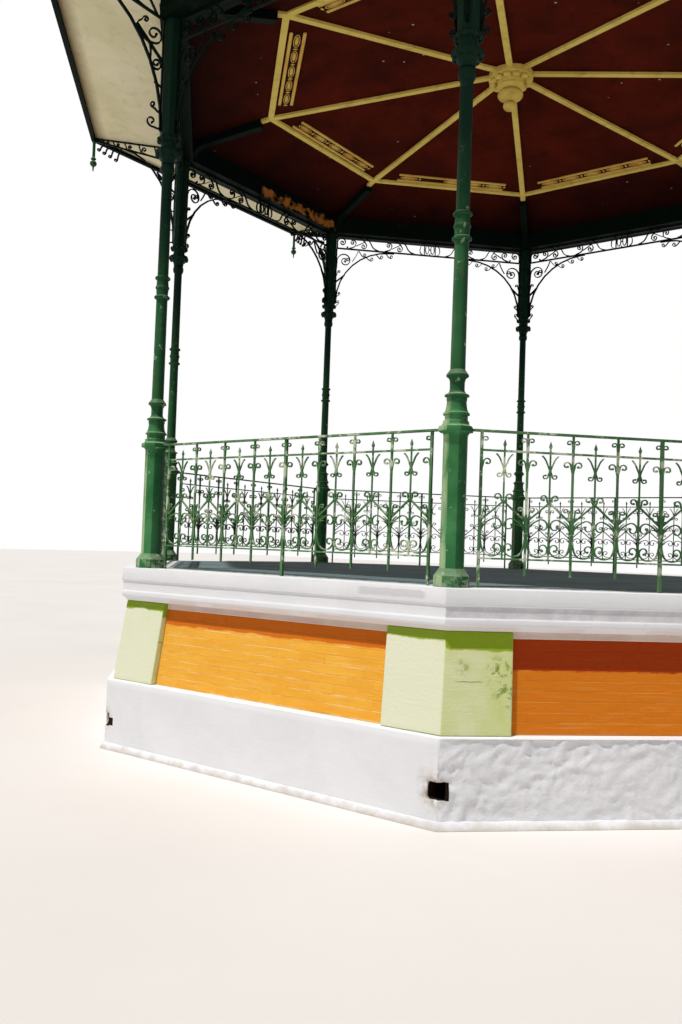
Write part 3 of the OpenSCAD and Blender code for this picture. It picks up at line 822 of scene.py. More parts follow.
class Green(Enum):
    """The greens on iron and wood: main, second and lee colours, rust, pale and bleach shares, sheen. The lee
    colour is painted shade on faces away from the sun; the bleach share is how much painted sunlight the
    sunny face gets, partly sun-bleaching.
    """

    CAST = ((50, 110, 66), (74, 136, 84), (18, 52, 32), 0.50, 0.55, 0.8, 0.05)
    WROUGHT = ((62, 108, 64), (92, 134, 90), (34, 70, 42), 0.30, 1.0, 0.3, 0.08)
    # DARK and TIMBER: their own dark green, darkened further to near-black as painted shade for the shade
    # under the roof.
    DARK = ((8, 20, 15), (13, 26, 20), (6, 15, 12), 0.20, 0.05, 0.0, 0.03)
    TIMBER = ((7, 20, 15), (12, 22, 15), (5, 15, 11), 0.25, 0.05, 0.0, 0.02)


@dataclass(frozen=True)
class GreenPaint:
    """Old green paint on iron, chipped and rusty in places, with painted light: paler towards the sun, partly
    bleaching, and on its ledges, partly dust; and painted shade: darker away from the sun and high up under
    the roof.
    """

    kind: Green
    rust: Colour = paint(106, 64, 40)
    # Dust on the ledges, and painted light on their lit tops.
    dust_and_highlight: Colour = paint(206, 211, 184)
    chip: Colour = paint(200, 210, 182)
    # Painted shade: the near-black of the columns high up, where the roof shades them.
    grime_and_shade: Colour = paint(12, 34, 26)
    # Painted light: the pale tone of the sunny face low down, partly bleaching.
    sunlit_pale: Colour = paint(176, 198, 152)
    wood: Colour = paint(184, 116, 52)
    foot: Colour = paint(188, 198, 166)
    shaded_from: float = 0.0
    flake_size: float = 14.0
    # Height above which the sunny face stops being painted light and painted shade begins.
    sunlit_below: float = 2.62
    peeled: tuple[float, ...] = ()
    bare_foot: tuple[float, float] = (0.0, 0.0)

    def sunlit(self, graph: Graph, colour: Socket, shade: Colour, sun_share: float) -> Socket:
        """Paints light on the sunny face low down, partly as bleaching, and paints shade above it as darker
        paint.
        """
        height = graph.axis("Z")
        edge = (self.sunlit_below, self.sunlit_below + 0.2)
        return graph.coats(
            colour,
            (self.sunlit_pale, graph.span(graph.facing((-0.45, -0.85, 0.15)), 0.84, 0.98, 0.0, sun_share),
             graph.span(height, *edge, 1.0, 0.3),
             graph.cloud((12.0, 4.0, 0.6, 0.2), (0.36, 0.56), (1.0, 1.0, 0.25))),
            (shade, graph.span(height, *edge, 0.0, 0.6)))

    def torn(self, graph: Graph, colour: Socket) -> Socket:
        """Bares the wood in a strip on the side towards +X."""
        near, first, last, foot, head = self.peeled
        wavy = graph.wavering(graph.axis("Z"), (6.0, 4.0), (0.3, 0.7), 0.05)
        return graph.coats(
            colour,
            (self.wood, graph.span(graph.facing((1.0, 0.0, 0.0)), 0.90, 0.97),
             graph.span(graph.axis("X"), near, near - 0.02),
             graph.between(graph.axis("Y"), first, last, 0.05), graph.between(wavy, foot, head, 0.01),
             graph.cloud((7.0, 5.0, 0.7, 0.3), (0.42, 0.56, 0.0, 0.85))))

    def material(self, name: str) -> bpy.types.Material:
        """Mixes paint, painted shade away from the sun, painted sunlight, rust streaks, ledges paler with
        dust and painted light, chips and painted shade under the roof.
        """
        main, second, lee, rusty, pale, sun_share, sheen = self.kind.value
        graph = Graph(name)
        colour = graph.coats(
            paint(*main),
            (paint(*second), graph.cloud((3.5, 5.0, 0.6, 0.5), (0.36, 0.66))),
            # painted shade on faces turned towards +X, away from the sun
            (paint(*lee), graph.span(graph.facing((0.95, 0.3, 0.0)), 0.35, 0.95, 0.0, 0.8)))
        if sun_share:
            colour = self.sunlit(graph, colour, paint(*lee), sun_share)
        rust = graph.cloud((7.0, 6.0, 0.66, 0.8), (0.72 - 0.2 * rusty, 0.82 - 0.2 * rusty), (1.0, 1.0, 0.22))
        ledge = graph.span(graph.axis("Z", graph.normal), 0.45, 0.9)
        flake = graph.cloud((self.flake_size, 5.0, 0.7), (0.70 - 0.16 * pale, 0.76 - 0.16 * pale))
        colour = graph.coats(
            colour,
            (self.rust, rust, 0.7),
            # paler ledges: dust, and painted light on their tops
            (self.dust_and_highlight, ledge, graph.cloud((18.0, 4.0), (0.3, 0.6, 0.45 * pale, pale))),
            (self.chip, flake, 0.9 * pale))
        # Painted shade: darker paint above a height, under the roof.
        if self.shaded_from:
            above = graph.span(graph.axis("Z"), self.shaded_from, self.shaded_from + 0.9, 0.0, 0.95)
            colour = graph.coats(colour, (self.grime_and_shade, above))
        if self.bare_foot[1]:
            low = graph.span(graph.axis("Z"), *self.bare_foot, 0.6, 0.0)
            colour = graph.coats(colour, (self.foot, low, graph.cloud((16.0, 5.0, 0.7), (0.46, 0.56))))
        if self.peeled:
            colour = self.torn(graph, colour)
        relief = graph.sums("ADD", graph.noise(85.0, 4.0, 0.6), graph.times(rust, 0.5))
        return graph.finish(colour, graph.span(rust, 0.0, 1.0, 0.45, 0.8), relief, 0.0012, 0.0, sheen)


@dataclass(frozen=True)
class Timber:
    """Painted boards or battens: two tones, grime and small specks."""

    light: Colour
    dark: Colour
    grime_and_shade: Colour
    specks: Colour
    speck_share: float = 0.0
    gloss: float = 0.6
    edge: float = 0.0
    edge_reach: float = 0.16
    edge_tone: Colour = paint(120, 96, 60)

    def material(self, name: str) -> bpy.types.Material:
        """Mixes the boards' paint, darker along an outer edge where one is given."""
        graph = Graph(name)
        colour = graph.coats(
            self.light,
            (self.dark, graph.cloud((1.3, 5.0, 0.6, 0.4), (0.34, 0.68))),
            (self.grime_and_shade, graph.cloud((6.0, 6.0, 0.68, 0.5), (0.52, 0.72)), 0.55))
        if self.speck_share:
            spots = graph.span(graph.cells(5.0), 0.05, 0.075, 1.0, 0.0)
            rare = 0.62 - 0.2 * self.speck_share
            colour = graph.coats(colour, (self.specks, spots, graph.cloud((2.7, 2.0), (rare, rare + 0.02))))
        if self.edge:
            inside = graph.sums("SUBTRACT", self.edge, graph.octagon())
            ragged = graph.wavering(inside, (5.0, 4.0), (0.2, 0.8), 0.02)
            edge_darkened = graph.span(ragged, 0.0, self.edge_reach, 0.85, 0.0)
            colour = graph.coats(colour, (self.edge_tone, edge_darkened))
        return graph.finish(colour, self.gloss, graph.noise(42.0, 5.0, 0.65), 0.0012, 0.0, 0.02)


@dataclass(frozen=True)
class Screed:
    """The grey cement floor."""

    # The cement's grey, kept dark and teal partly as painted shade for the roof over the floor.
    light: Colour = paint(108, 126, 128)
    dark: Colour = paint(78, 96, 98)

    def material(self, name: str) -> bpy.types.Material:
        """Mixes the worn cement, darker in hair cracks."""
        graph = Graph(name)
        crack = graph.span(graph.cells(0.8, "DISTANCE_TO_EDGE"), 0.0, 0.012, 1.0, 0.0)
        worn = graph.cloud((1.1, 6.0, 0.62, 0.4), (0.36, 0.66))
        colour = graph.coats(self.light, (self.dark, worn), (self.dark, crack, 0.6))
        return graph.finish(colour, 0.82, graph.sums("SUBTRACT", graph.noise(70.0, 5.0, 0.65), crack), 0.0018)


@dataclass(frozen=True)
class RoofMetal:
    """Weathered zinc sheets on the roof."""

    light: Colour = paint(138, 142, 144)
    dark: Colour = paint(96, 100, 102)
    rust: Colour = paint(124, 88, 62)

    def material(self, name: str) -> bpy.types.Material:
        """Mixes the sheets' bloom with a little rust."""
        graph = Graph(name)
        bloom = graph.cloud((2.6, 6.0, 0.65, 0.6), (0.36, 0.66))
        rusty = graph.cloud((4.0, 5.0, 0.7, 0.4), (0.64, 0.74))
        colour = graph.coats(self.light, (self.dark, bloom), (self.rust, rusty, 0.5))
        rough = graph.span(bloom, 0.0, 1.0, 0.56, 0.68)
        return graph.finish(colour, rough, graph.noise(24.0, 4.0, 0.6), 0.0012, 0.15)


class Finishes:
    """Every finish on the stand, mixed once and shared by its pieces."""

    def __init__(self) -> None:
        """Mixes them all."""
        self.render = Limewash().material("white_limewash")
        self.pilaster = PilasterWash().material("pilaster_limewash")
        # Painted shade: dark brown for the drains' hollows.
        self.drain = Timber(paint(46, 34, 28), paint(30, 22, 20), paint(60, 52, 30), paint(20, 16, 14),
                            gloss=0.9).material("drain_hollow_shade")
        self.fillet = BeigeFillet().material("bare_fillet")
        self.brick = PaintedBrick().material("orange_painted_brick")
        self.mortar = PaintedMortar().material("painted_mortar")
        self.screed = Screed().material("cement_screed")
        # The cast iron is painted darker from this height up, as shade under the roof.
        self.cast = GreenPaint(Green.CAST, shaded_from=3.70,
                               bare_foot=(1.50, 1.62)).material("green_cast_iron")
        self.wrought = GreenPaint(Green.WROUGHT, flake_size=6.0).material("green_wrought_iron")
        self.dark_iron = GreenPaint(Green.DARK).material("dark_green_iron")
        self.dark_timber = GreenPaint(Green.TIMBER).material("dark_green_timber")
        self.beam = GreenPaint(Green.TIMBER,
                               peeled=(-3.40, -0.2, 1.41, 6.27, 6.40)).material("peeled_green_beam")
        # Painted shade: the boards are darker than their red paint alone and go near-black towards the outer
        # edge, where the eave shades them.
        self.ceiling = Timber(paint(86, 24, 9), paint(58, 14, 6), paint(28, 9, 6), paint(186, 176, 166),
                              0.5, 0.8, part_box("outer_ceiling")[1].x, 1.5,
                              paint(18, 7, 6)).material("deep_red_boards")
        self.soffit = Timber(paint(222, 214, 182), paint(208, 199, 160), paint(186, 172, 124),
                             paint(120, 96, 60), edge=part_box("soffit")[1].x).material("cream_boards")
        self.batten = Timber(paint(230, 206, 112), paint(216, 188, 92), paint(160, 120, 52),
                             paint(96, 64, 34)).material("cream_battens")
        self.grille = Timber(paint(222, 192, 104), paint(210, 156, 70), paint(170, 84, 30),
                             paint(90, 60, 40)).material("cream_rusty_iron")
        # Painted shade: a dark sheet for the openings of the grilles.
        self.pierced = Timber(paint(52, 26, 16), paint(34, 20, 12), paint(20, 12, 10),
                              paint(90, 60, 40)).material("painted_opening_shade")
        self.pendant = GreenPaint(Green.CAST, dust_and_highlight=paint(196, 200, 180)).material("pale_green_iron")
        self.roof = RoofMetal().material("weathered_zinc")

    def dress(self, material: bpy.types.Material, *nodes: str) -> None:
        """Gives frame nodes a finish in place of their plain one."""
        for name in nodes:
            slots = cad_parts[name].material_slots
            for slot in slots:
                slot.material = material
            if not slots:
                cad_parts[name].data.materials.append(material)


@dataclass
class Part:
    """A sub-assembly, set out on the plan and dressed in the shared finishes."""

    plan: Plan
    finishes: Finishes


@dataclass
class MasonryBase(Part):
    """The rendered plinth, pilasters and cornice, worn and trowelled by hand."""

    cell: float = 0.016
    trowel_depth: float = 0.018
    wash_depth: float = 0.0025
    swirl_scale: float = 4.0
    swirl_reach: float = 0.10
    swirl_shifts: tuple[tuple[float, float, float], ...] = (
        (9.3, -1.5, -8.0), (0.0, 0.0, 0.0), (-7.3, 6.2, 0.5))
    ridge_scale: tuple[float, float] = (6.0, 9.0)
    lump_scale: float = 17.0
    patch_scale: float = 2.3
    rough_side: int = 1
    skirt_out: float = 0.036
    skirt_h: float = 0.05
    drain: tuple[float, float, float, float] = (-0.075, 0.025, 0.185, 0.285)
    drain_margin: float = 0.004
    stain_reach: float = 0.075
    chipped_sides: tuple[int, ...] = (1, 4, 6)
    chips: tuple[tuple[float, float, float], ...] = (
        (0.10, 0.985, 0.035), (0.035, 0.955, 0.045), (0.03, 0.86, 0.05), (0.33, 0.995, 0.02),
        (0.04, 0.80, 0.025))
    panel_end: float = 1.106

    def cut_faces(self, bench: Bench, cell: float, low: float, high: float, drop: int = 1) -> None:
        """Cuts the outer faces of a ring into a grid that can carry relief.

        Args:
            bench: the piece.
            cell: the grid's spacing.
            low: the lowest height to cut, above the ground.
            high: the highest.
            drop: how many times coarser the grid is on all sides but the rough one.
        """
        for number in self.plan.numbers:
            step = cell * (1 if number == self.rough_side else drop)
            out = self.plan.out(number)
            along = self.plan.side(number).to_3x3() @ Vector((0, 1, 0))
            faces = [face for face in bench.bm.faces if face.normal.dot(out) > 0.97]
            if not faces:
                continue
            edges = {edge for face in faces for edge in face.edges}
            verts = {vert for face in faces for vert in face.verts}
            geom = [*faces, *edges, *verts]
            reach = max(abs(vert.co.dot(along)) for vert in verts)
            count = int(reach / step)
            planes = [(along * (step * (cut + 0.5)), along) for cut in range(-count - 1, count + 1)]
            level = low + step
            while level < high - step / 2:
                planes.append((Vector((0, 0, level)), Vector((0, 0, 1))))
                level += step
            for point, normal in planes:
                geom = bmesh.ops.bisect_plane(bench.bm, geom=geom, dist=1e-5, plane_co=point,
                                              plane_no=normal)["geom"]

    def worn(self, bench: Bench, depth_at: Callable[[Vector], float]) -> None:
        """Sinks every vertex a little along its normal, and leaves the underside flat on the ground."""
        bench.bm.normal_update()
        for vert in bench.bm.verts:
            sink = vert.normal * depth_at(vert.co)
            if vert.co.z < 0.001:
                sink.z = 0.0
            vert.co -= sink

    def trowelled(self, point: Vector) -> float:
        """Depth of the plinth's relief: lumpy ridges on one side, a flatter coat on the others."""
        facing = point.normalized().dot(self.plan.out(self.rough_side))
        share = max(0.0, min(1.0, (facing - 0.9) / 0.03))
        swirl = Vector([noise.noise(point * self.swirl_scale + Vector(shift)) for shift in self.swirl_shifts])
        place = point + swirl * self.swirl_reach
        flat, upright = self.ridge_scale
        ridges = 1.0 - abs(noise.noise(Vector((place.x * flat, place.y * flat, place.z * upright)))) * 2.6
        lumps = noise.fractal(place * self.lump_scale, 0.9, 2.1, 3)
        patch = 0.62 + 0.5 * noise.noise(point * self.patch_scale)
        rough = self.trowel_depth * patch * max(0.0, min(1.2, 0.8 - 0.6 * max(0.0, ridges) + 0.7 * lumps))
        calm = self.wash_depth * (0.5 + 0.5 * noise.noise(point * 5.0))
        return calm + (rough - calm) * share

    def washed(self, point: Vector) -> float:
        """Depth of the shallow unevenness under the wash."""
        return self.wash_depth * (0.5 + 0.5 * noise.noise(point * 6.5))

    def stains(self, bench: Bench, apothem: float) -> None:
        """Marks the rough side and the dirt round the drains, and gives the drains' walls the second finish.

        Args:
            bench: the plinth.
            apothem: its outer face's distance from the axis.
        """
        rough = bench.bm.verts.layers.float.new("rough")
        stain = bench.bm.verts.layers.float.new("stain")
        out = self.plan.out(self.rough_side)
        for vert in bench.bm.verts:
            vert[rough] = 1.0 if vert.co.dot(out) > apothem - 0.02 else 0.0
        near, far, low, high = self.drain
        half = apothem * self.plan.tangent
        margin = self.drain_margin
        centre = Vector((apothem, half + near / 2, (low + high) / 2))
        for number in self.plan.numbers:
            inverse = self.plan.side(number).inverted()
            for vert in bench.bm.verts:
                reach = ((inverse @ vert.co) - centre).length
                vert[stain] = max(vert[stain], min(1.0, max(0.0, 1.7 - reach / self.stain_reach)))
            for face in bench.bm.faces:
                spot = inverse @ face.calc_center_median()
                level = low - margin < spot.z < high + margin
                if level and near - margin < spot.y - half < far + margin and spot.x < apothem - 0.03:
                    face.material_index = 1

    def plinth(self) -> None:
        """Makes the plinth with its lumpy side and the skirt of render round its foot."""
        low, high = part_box("plinth")
        bench = Bench()
        bench.take("plinth")
        bench.soften(0.014, 25.0, 3)
        self.cut_faces(bench, self.cell, low.z, high.z, 4)
        self.stains(bench, high.x)
        self.worn(bench, self.trowelled)
        item = bench.piece("plinth_render", self.finishes.render, "white_render", ["plinth"], 50.0)
        item.data.materials.append(self.finishes.drain)
        corner = high.x / self.plan.cosine
        skirt = Bench()
        skirt.ring([(corner - 0.02, 0.0), (corner + self.skirt_out, 0.0),
                    (corner + 0.75 * self.skirt_out, 0.02), (corner + 0.006, self.skirt_h),
                    (corner - 0.02, self.skirt_h)], self.plan.sides)
        self.cut_faces(skirt, 6.0 * self.cell, self.skirt_h, self.skirt_h)
        self.worn(skirt, self.washed)
        skirt.piece("plinth_skirt", self.finishes.render, "white_render", smooth=50.0)

    def pilasters(self) -> None:
        """Makes the leaning corners, chipped near the edge of one face on some of them."""
        low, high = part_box("corner_pilasters")
        bench = Bench()
        bench.take("corner_pilasters")
        bench.soften(0.006)
        self.cut_faces(bench, 2.4 * self.cell, low.z, high.z)
        self.worn(bench, self.washed)
        layer = bench.bm.verts.layers.float.new("worn")
        for number in self.chipped_sides:
            inverse = self.plan.side(number).inverted()
            for vert in bench.bm.verts:
                spot = inverse @ vert.co
                edge = spot.y + self.panel_end
                if spot.x < 3.0 or edge > 0.0:
                    continue
                for inset, height, radius in self.chips:
                    reach = math.hypot(edge + inset, spot.z - height) / radius
                    vert[layer] = max(vert[layer], min(1.0, 1.6 - 0.6 * reach))
        bench.piece("pilaster_render_coat", self.finishes.pilaster, "pilaster_render",
                    ["corner_pilasters"], 50.0)

    def build(self) -> None:
        """Makes the rendered pieces and dresses the walls and floor behind them."""
        self.plinth()
        self.pilasters()
        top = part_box("cornice")[1].z
        cornice = Bench()
        cornice.take("cornice")
        cornice.soften(0.004, 15.0)
        self.cut_faces(cornice, 4.5 * self.cell, top, top)
        self.worn(cornice, self.washed)
        cornice.piece("cornice_moulding", self.finishes.render, "white_render", ["cornice"], 50.0)
        self.finishes.dress(self.finishes.mortar, "brick_walls")
        self.finishes.dress(self.finishes.screed, "floor_slab")


@dataclass
class BrickPanels(Part):
    """Eight leaning panels of painted bricks between the pilasters, with a rendered fillet above."""

    foot_corner: float = 4.130
    head_corner: float = 4.037
    recess: float = 0.050
    pilaster_half: float = 0.465
    foot_above_ground: float = 0.570
    head_above_ground: float = 1.224
    first_course: float = 0.006
    courses: int = 9
    course: float = 0.0672
    brick_length: float = 0.222
    shortest: float = 0.03
    joint: float = 0.0055
    side_joint: float = 0.0002
    arris: float = 0.0013
    proud: float = 0.0014
    sunk: float = 0.020
    clear: float = 0.004
    fillet_proud: float = 0.012

    @property
    def foot_apothem(self) -> float:
        """From the axis to the panel's face at its foot."""
        return self.foot_corner * self.plan.cosine - self.recess

    @property
    def head_apothem(self) -> float:
        """From the axis to the panel's face at its head."""
        return self.foot_apothem * self.head_corner / self.foot_corner

    @property
    def slope(self) -> Vector:
        """From the panel's foot to its head: how far it leans back and how far it rises."""
        back = self.foot_apothem - self.head_apothem
        return Vector((back, self.head_above_ground - self.foot_above_ground))

    def panel(self, number: int) -> Matrix:
        """The foot of a panel, with +X out of its face and +Z up its slope."""
        lean = math.degrees(math.atan2(*self.slope))
        return (self.plan.side(number) @ shifted(self.foot_apothem, 0.0, self.foot_above_ground)
                @ spun(-lean, "Y"))

    def half_width(self, height: float) -> float:
        """Half the panel's width at a height along its slope."""
        foot = self.foot_corner * self.plan.sine - self.pilaster_half
        head = foot * self.head_corner / self.foot_corner
        return foot + (head - foot) * height / self.slope.length

    def stretchers(self) -> Iterable[tuple[float, float, float]]:
        """Middle, height and length of every brick in a panel of stretcher bond."""
        for row in range(self.courses):
            height = self.first_course + (row + 0.5) * self.course
            limit = self.half_width(height) - self.clear
            start = -limit - (self.brick_length / 2 if row % 2 else 0.0)
            while start < limit:
                left, right = max(start, -limit), min(start + self.brick_length, limit)
                start += self.brick_length
                length = right - left - self.side_joint
                if length >= self.shortest:
                    yield (left + right) / 2, height, length

    def lay(self, number: int, chance: random.Random) -> Bench:
        """Lays one panel, each brick with worn arrises, its own tone and its share of the lee, which sets how
        much painted shade its paint gets.

        Args:
            number: the side.
            chance: the source of small differences.

        Returns:
            The panel's bricks.
        """
        bench = Bench()
        tone = bench.bm.faces.layers.float.new("tone")
        where = self.panel(number)
        for y, height, length in self.stretchers():
            out = (self.proud - self.sunk) / 2 + chance.uniform(-0.0008, 0.0006)
            tilt = spun(chance.uniform(-0.35, 0.35), "X") @ spun(chance.uniform(-0.2, 0.2), "Z")
            place = where @ shifted(out, y, height + chance.uniform(-0.0012, 0.0012)) @ tilt
            before = set(bench.bm.faces)
            bench.block((self.proud + self.sunk, length, self.course - self.joint), place, self.arris)
            shade = chance.random()
            for face in set(bench.bm.faces) - before:
                face[tone] = shade
        lee = bench.bm.faces.layers.float.new("lee")
        turned = self.plan.out(number).dot(Vector(SUNNY).normalized())
        for face in bench.bm.faces:
            face[lee] = min(1.0, max(0.0, (0.90 - turned) / 0.35))
        return bench

    def build(self) -> None:
        """Lays the eight panels, each a piece of its own, and runs the fillet over them."""
        trim = Bench()
        top = self.first_course + self.courses * self.course
        band = self.slope.length - top
        size = (self.fillet_proud + self.sunk, 2 * self.half_width(top) - 0.002, band - 0.001)
        for number in self.plan.numbers:
            bricks = self.lay(number, random.Random(100 + number))
            bricks.piece(f"bricks_{number}", self.finishes.brick, "brick")
            trim.block(size, self.panel(number) @ shifted(0.005 - self.sunk / 2, 0.0, top + band / 2), 0.005)
        trim.piece("panel_fillets", self.finishes.fillet, "white_render")


@dataclass
class Railings(Part):
    """Wrought scrolls in the railings, the same in every half bay, mirrored at each bar."""

    bays: int = 8
    reach: float = 1.291
    collar: float = 0.360
    tie: float = 0.583
    thin_collar: float = 0.430
    fork: float = 0.798
    depth: float = 0.014
    # From the bar: two big scrolls at its collar, a palm with three leaves over them, one scroll below the
    # second rail and one above it. From the thin bar: the tie, the horn, the hook and the arm.
    forgings: tuple[Forging, ...] = (
        Forging(0.0095, ((0.005, 0.355, -84.0), (0.078, 0.2135, -4.0)),
                (0.117375, 0.272, 0.040, -38.0, 310.0)),
        Forging(0.0095, ((0.005, 0.360, 86.0),), (0.115375, 0.424, 0.048, 112.0, -310.0)),
        Forging(0.0075, ((0.007, 0.420, 82.0),), (0.045, 0.530, 0.020, 172.0, -310.0)),
        Forging(0.0095, ((0.006, 0.385, 84.0), (0.034, 0.492, 50.0)), tip=0.25),
        Forging(0.0095, ((0.006, 0.385, 84.0), (0.056, 0.464, 28.0)), tip=0.25),
        Forging(0.0095, ((0.006, 0.385, 84.0), (0.068, 0.430, 8.0)), tip=0.25),
        Forging(0.0095, ((0.004, 0.790, 88.0),), (0.045, 0.843, 0.030, 176.0, -310.0)),
        Forging(0.0075, ((0.004, 0.925, 90.0),), (0.030, 0.996, 0.022, 176.0, -310.0)),
        Forging(0.011, ((0.159375, 0.583), (0.004, 0.450))),
        Forging(0.0095, ((0.157375, 0.572, 100.0),), (0.116375, 0.612, 0.029, -14.0, 310.0)),
        Forging(0.0075, ((0.157375, 0.798, -98.0),), (0.125375, 0.764, 0.022, 4.0, -310.0)),
        Forging(0.0075, ((0.158375, 0.798, 100.0), (0.139375, 0.850, 112.0), (0.103375, 0.902, 140.0))),
    )

    @property
    def half_bay(self) -> float:
        """From a bar to the thin bar beside it."""
        return self.reach / self.bays

    def half_bay_motif(self) -> bpy.types.Mesh:
        """Forges everything between a bar, at y 0, and the thin bar beside it."""
        bench = Bench()
        for forging in self.forgings:
            forging.forge(bench, self.depth)
        bench.block((0.022, 0.013, 0.026), shifted(0.0, 0.0070, self.collar), 0.003)
        for height in (self.thin_collar, self.tie):
            bench.block((0.018, 0.009, 0.016), shifted(0.0, self.half_bay - 0.0045, height), 0.002)
        return bench.motif("half_bay")

    def bar_motif(self) -> bpy.types.Mesh:
        """Spear heads over the thin bars, and a ball where each one forks."""
        bench = Bench()
        for bay in range(self.bays):
            y = -self.reach + (2 * bay + 1) * self.half_bay
            bench.spear(y, 0.966, 0.015, 0.056)
            bench.ball((0.0, y, 0.936), (0.009, 0.009, 0.005), 8, 4)
            bench.ball((0.0, y, self.fork), (0.012, 0.012, 0.011), 8, 5)
        return bench.motif("bar_heads")

    def build(self) -> None:
        """Sets the scrolls in all eight railings."""
        half, heads = self.half_bay_motif(), self.bar_motif()
        for number in self.plan.numbers:
            where = self.plan.between_columns(number)
            bench = Bench()
            bench.place(heads, where)
            for bay in range(self.bays + 1):
                bar = where @ shifted(0.0, -self.reach + 2 * bay * self.half_bay, 0.0)
                if bay < self.bays:
                    bench.place(half, bar)
                if bay:
                    bench.place(half, bar @ MIRROR)
            bench.piece(f"railing_scrolls_{number}", self.finishes.wrought, "wrought_green")
            self.finishes.dress(self.finishes.wrought, f"railing_{number}")
        bpy.data.meshes.remove(half)
        bpy.data.meshes.remove(heads)


@dataclass
class Friezes(Part):
    """The scrolled band under the beam, in two mirrored halves on each side."""

    low: float = 4.570
    high: float = 4.770
    chord: float = 0.020
    depth: float = 0.020
    post: float = 0.0803
    # The bold scroll at the post.
    bold: Forging = Forging(0.0156, ((0.012, 4.590, 84.0),), (0.082, 4.674, 0.068, 168.0, -520.0, 0.16))
    # One repeat, counted from where it starts: a hook, a tie, a falling hook and a long S.
    unit: tuple[Forging, ...] = (
        Forging(0.013, ((0.020, 4.590, 20.0), (0.122, 4.660, 88.0)), (0.078, 4.678, 0.046, 8.0, 420.0, 0.22)),
        Forging(0.009, ((0.130, 4.635), (0.262, 4.708))),
        Forging(0.013, ((0.150, 4.750, 0.0),), (0.236, 4.642, 0.050, 34.0, -415.0, 0.22)),
        Forging(0.013, ((0.262, 4.750, -12.0), (0.352, 4.670, -66.0), (0.462, 4.590, -10.0))),
    )
    unit_starts: tuple[float, ...] = (0.160, 0.695)
    # The bar beside the middle, and the curl next to it.
    upright: Forging = Forging(0.012, ((0.082, 4.590), (0.082, 4.750)))
    curl: Forging = Forging(0.009, ((0.088, 4.750, -20.0), (0.150, 4.650, -90.0), (0.110, 4.590, 200.0)))

    def half_motif(self) -> bpy.types.Mesh:
        """Forges half a frieze, from the middle at y 0 out to the post."""
        half = self.plan.half_side - self.post
        floor, top = self.low + self.chord, self.high - self.chord
        middle = (floor + top) / 2
        bench = Bench()
        self.bold.forge(bench, self.depth)
        for start in self.unit_starts:
            for forging in self.unit:
                forging.forge(bench, self.depth, start)
        bench.disc(0.158, floor + 0.016, 0.013, self.depth)
        from_post = bench.motif("frieze_units")
        bench = Bench()
        bench.spread(from_post, [shifted(0.0, half, 0.0) @ MIRROR])
        self.upright.forge(bench, self.depth)
        bench.bar(Path(0.066, middle).arc(0.040, middle, 0.026, 0.062, 0.0, 360.0), self.depth, 0.009)
        for height in (floor + 0.012, middle, top - 0.012):
            bench.ball((0.0, 0.0, height), (0.010, 0.010, 0.010), 8, 5)
        self.curl.forge(bench, self.depth)
        reach = half - 0.003
        bench.block((0.024, reach, self.chord), shifted(0.0, reach / 2, self.low + self.chord / 2), 0.002)
        bench.block((0.024, reach, self.chord - 0.001),
                    shifted(0.0, reach / 2, self.high - self.chord / 2 - 0.001), 0.002)
        bench.block((0.018, 0.014, self.high - self.low - 0.004),
                    shifted(0.0, half - 0.009, (self.high + self.low) / 2), 0.002)
        return bench.motif("half_frieze")

    def build(self) -> None:
        """Hangs the eight friezes."""
        half = self.half_motif()
        for number in self.plan.numbers:
            where = self.plan.between_columns(number)
            bench = Bench()
            bench.place(half, where)
            bench.place(half, where @ MIRROR)
            bench.piece(f"frieze_scrolls_{number}", self.finishes.dark_iron, "wrought_green",
                        [f"frieze_{number}"])
        bpy.data.meshes.remove(half)


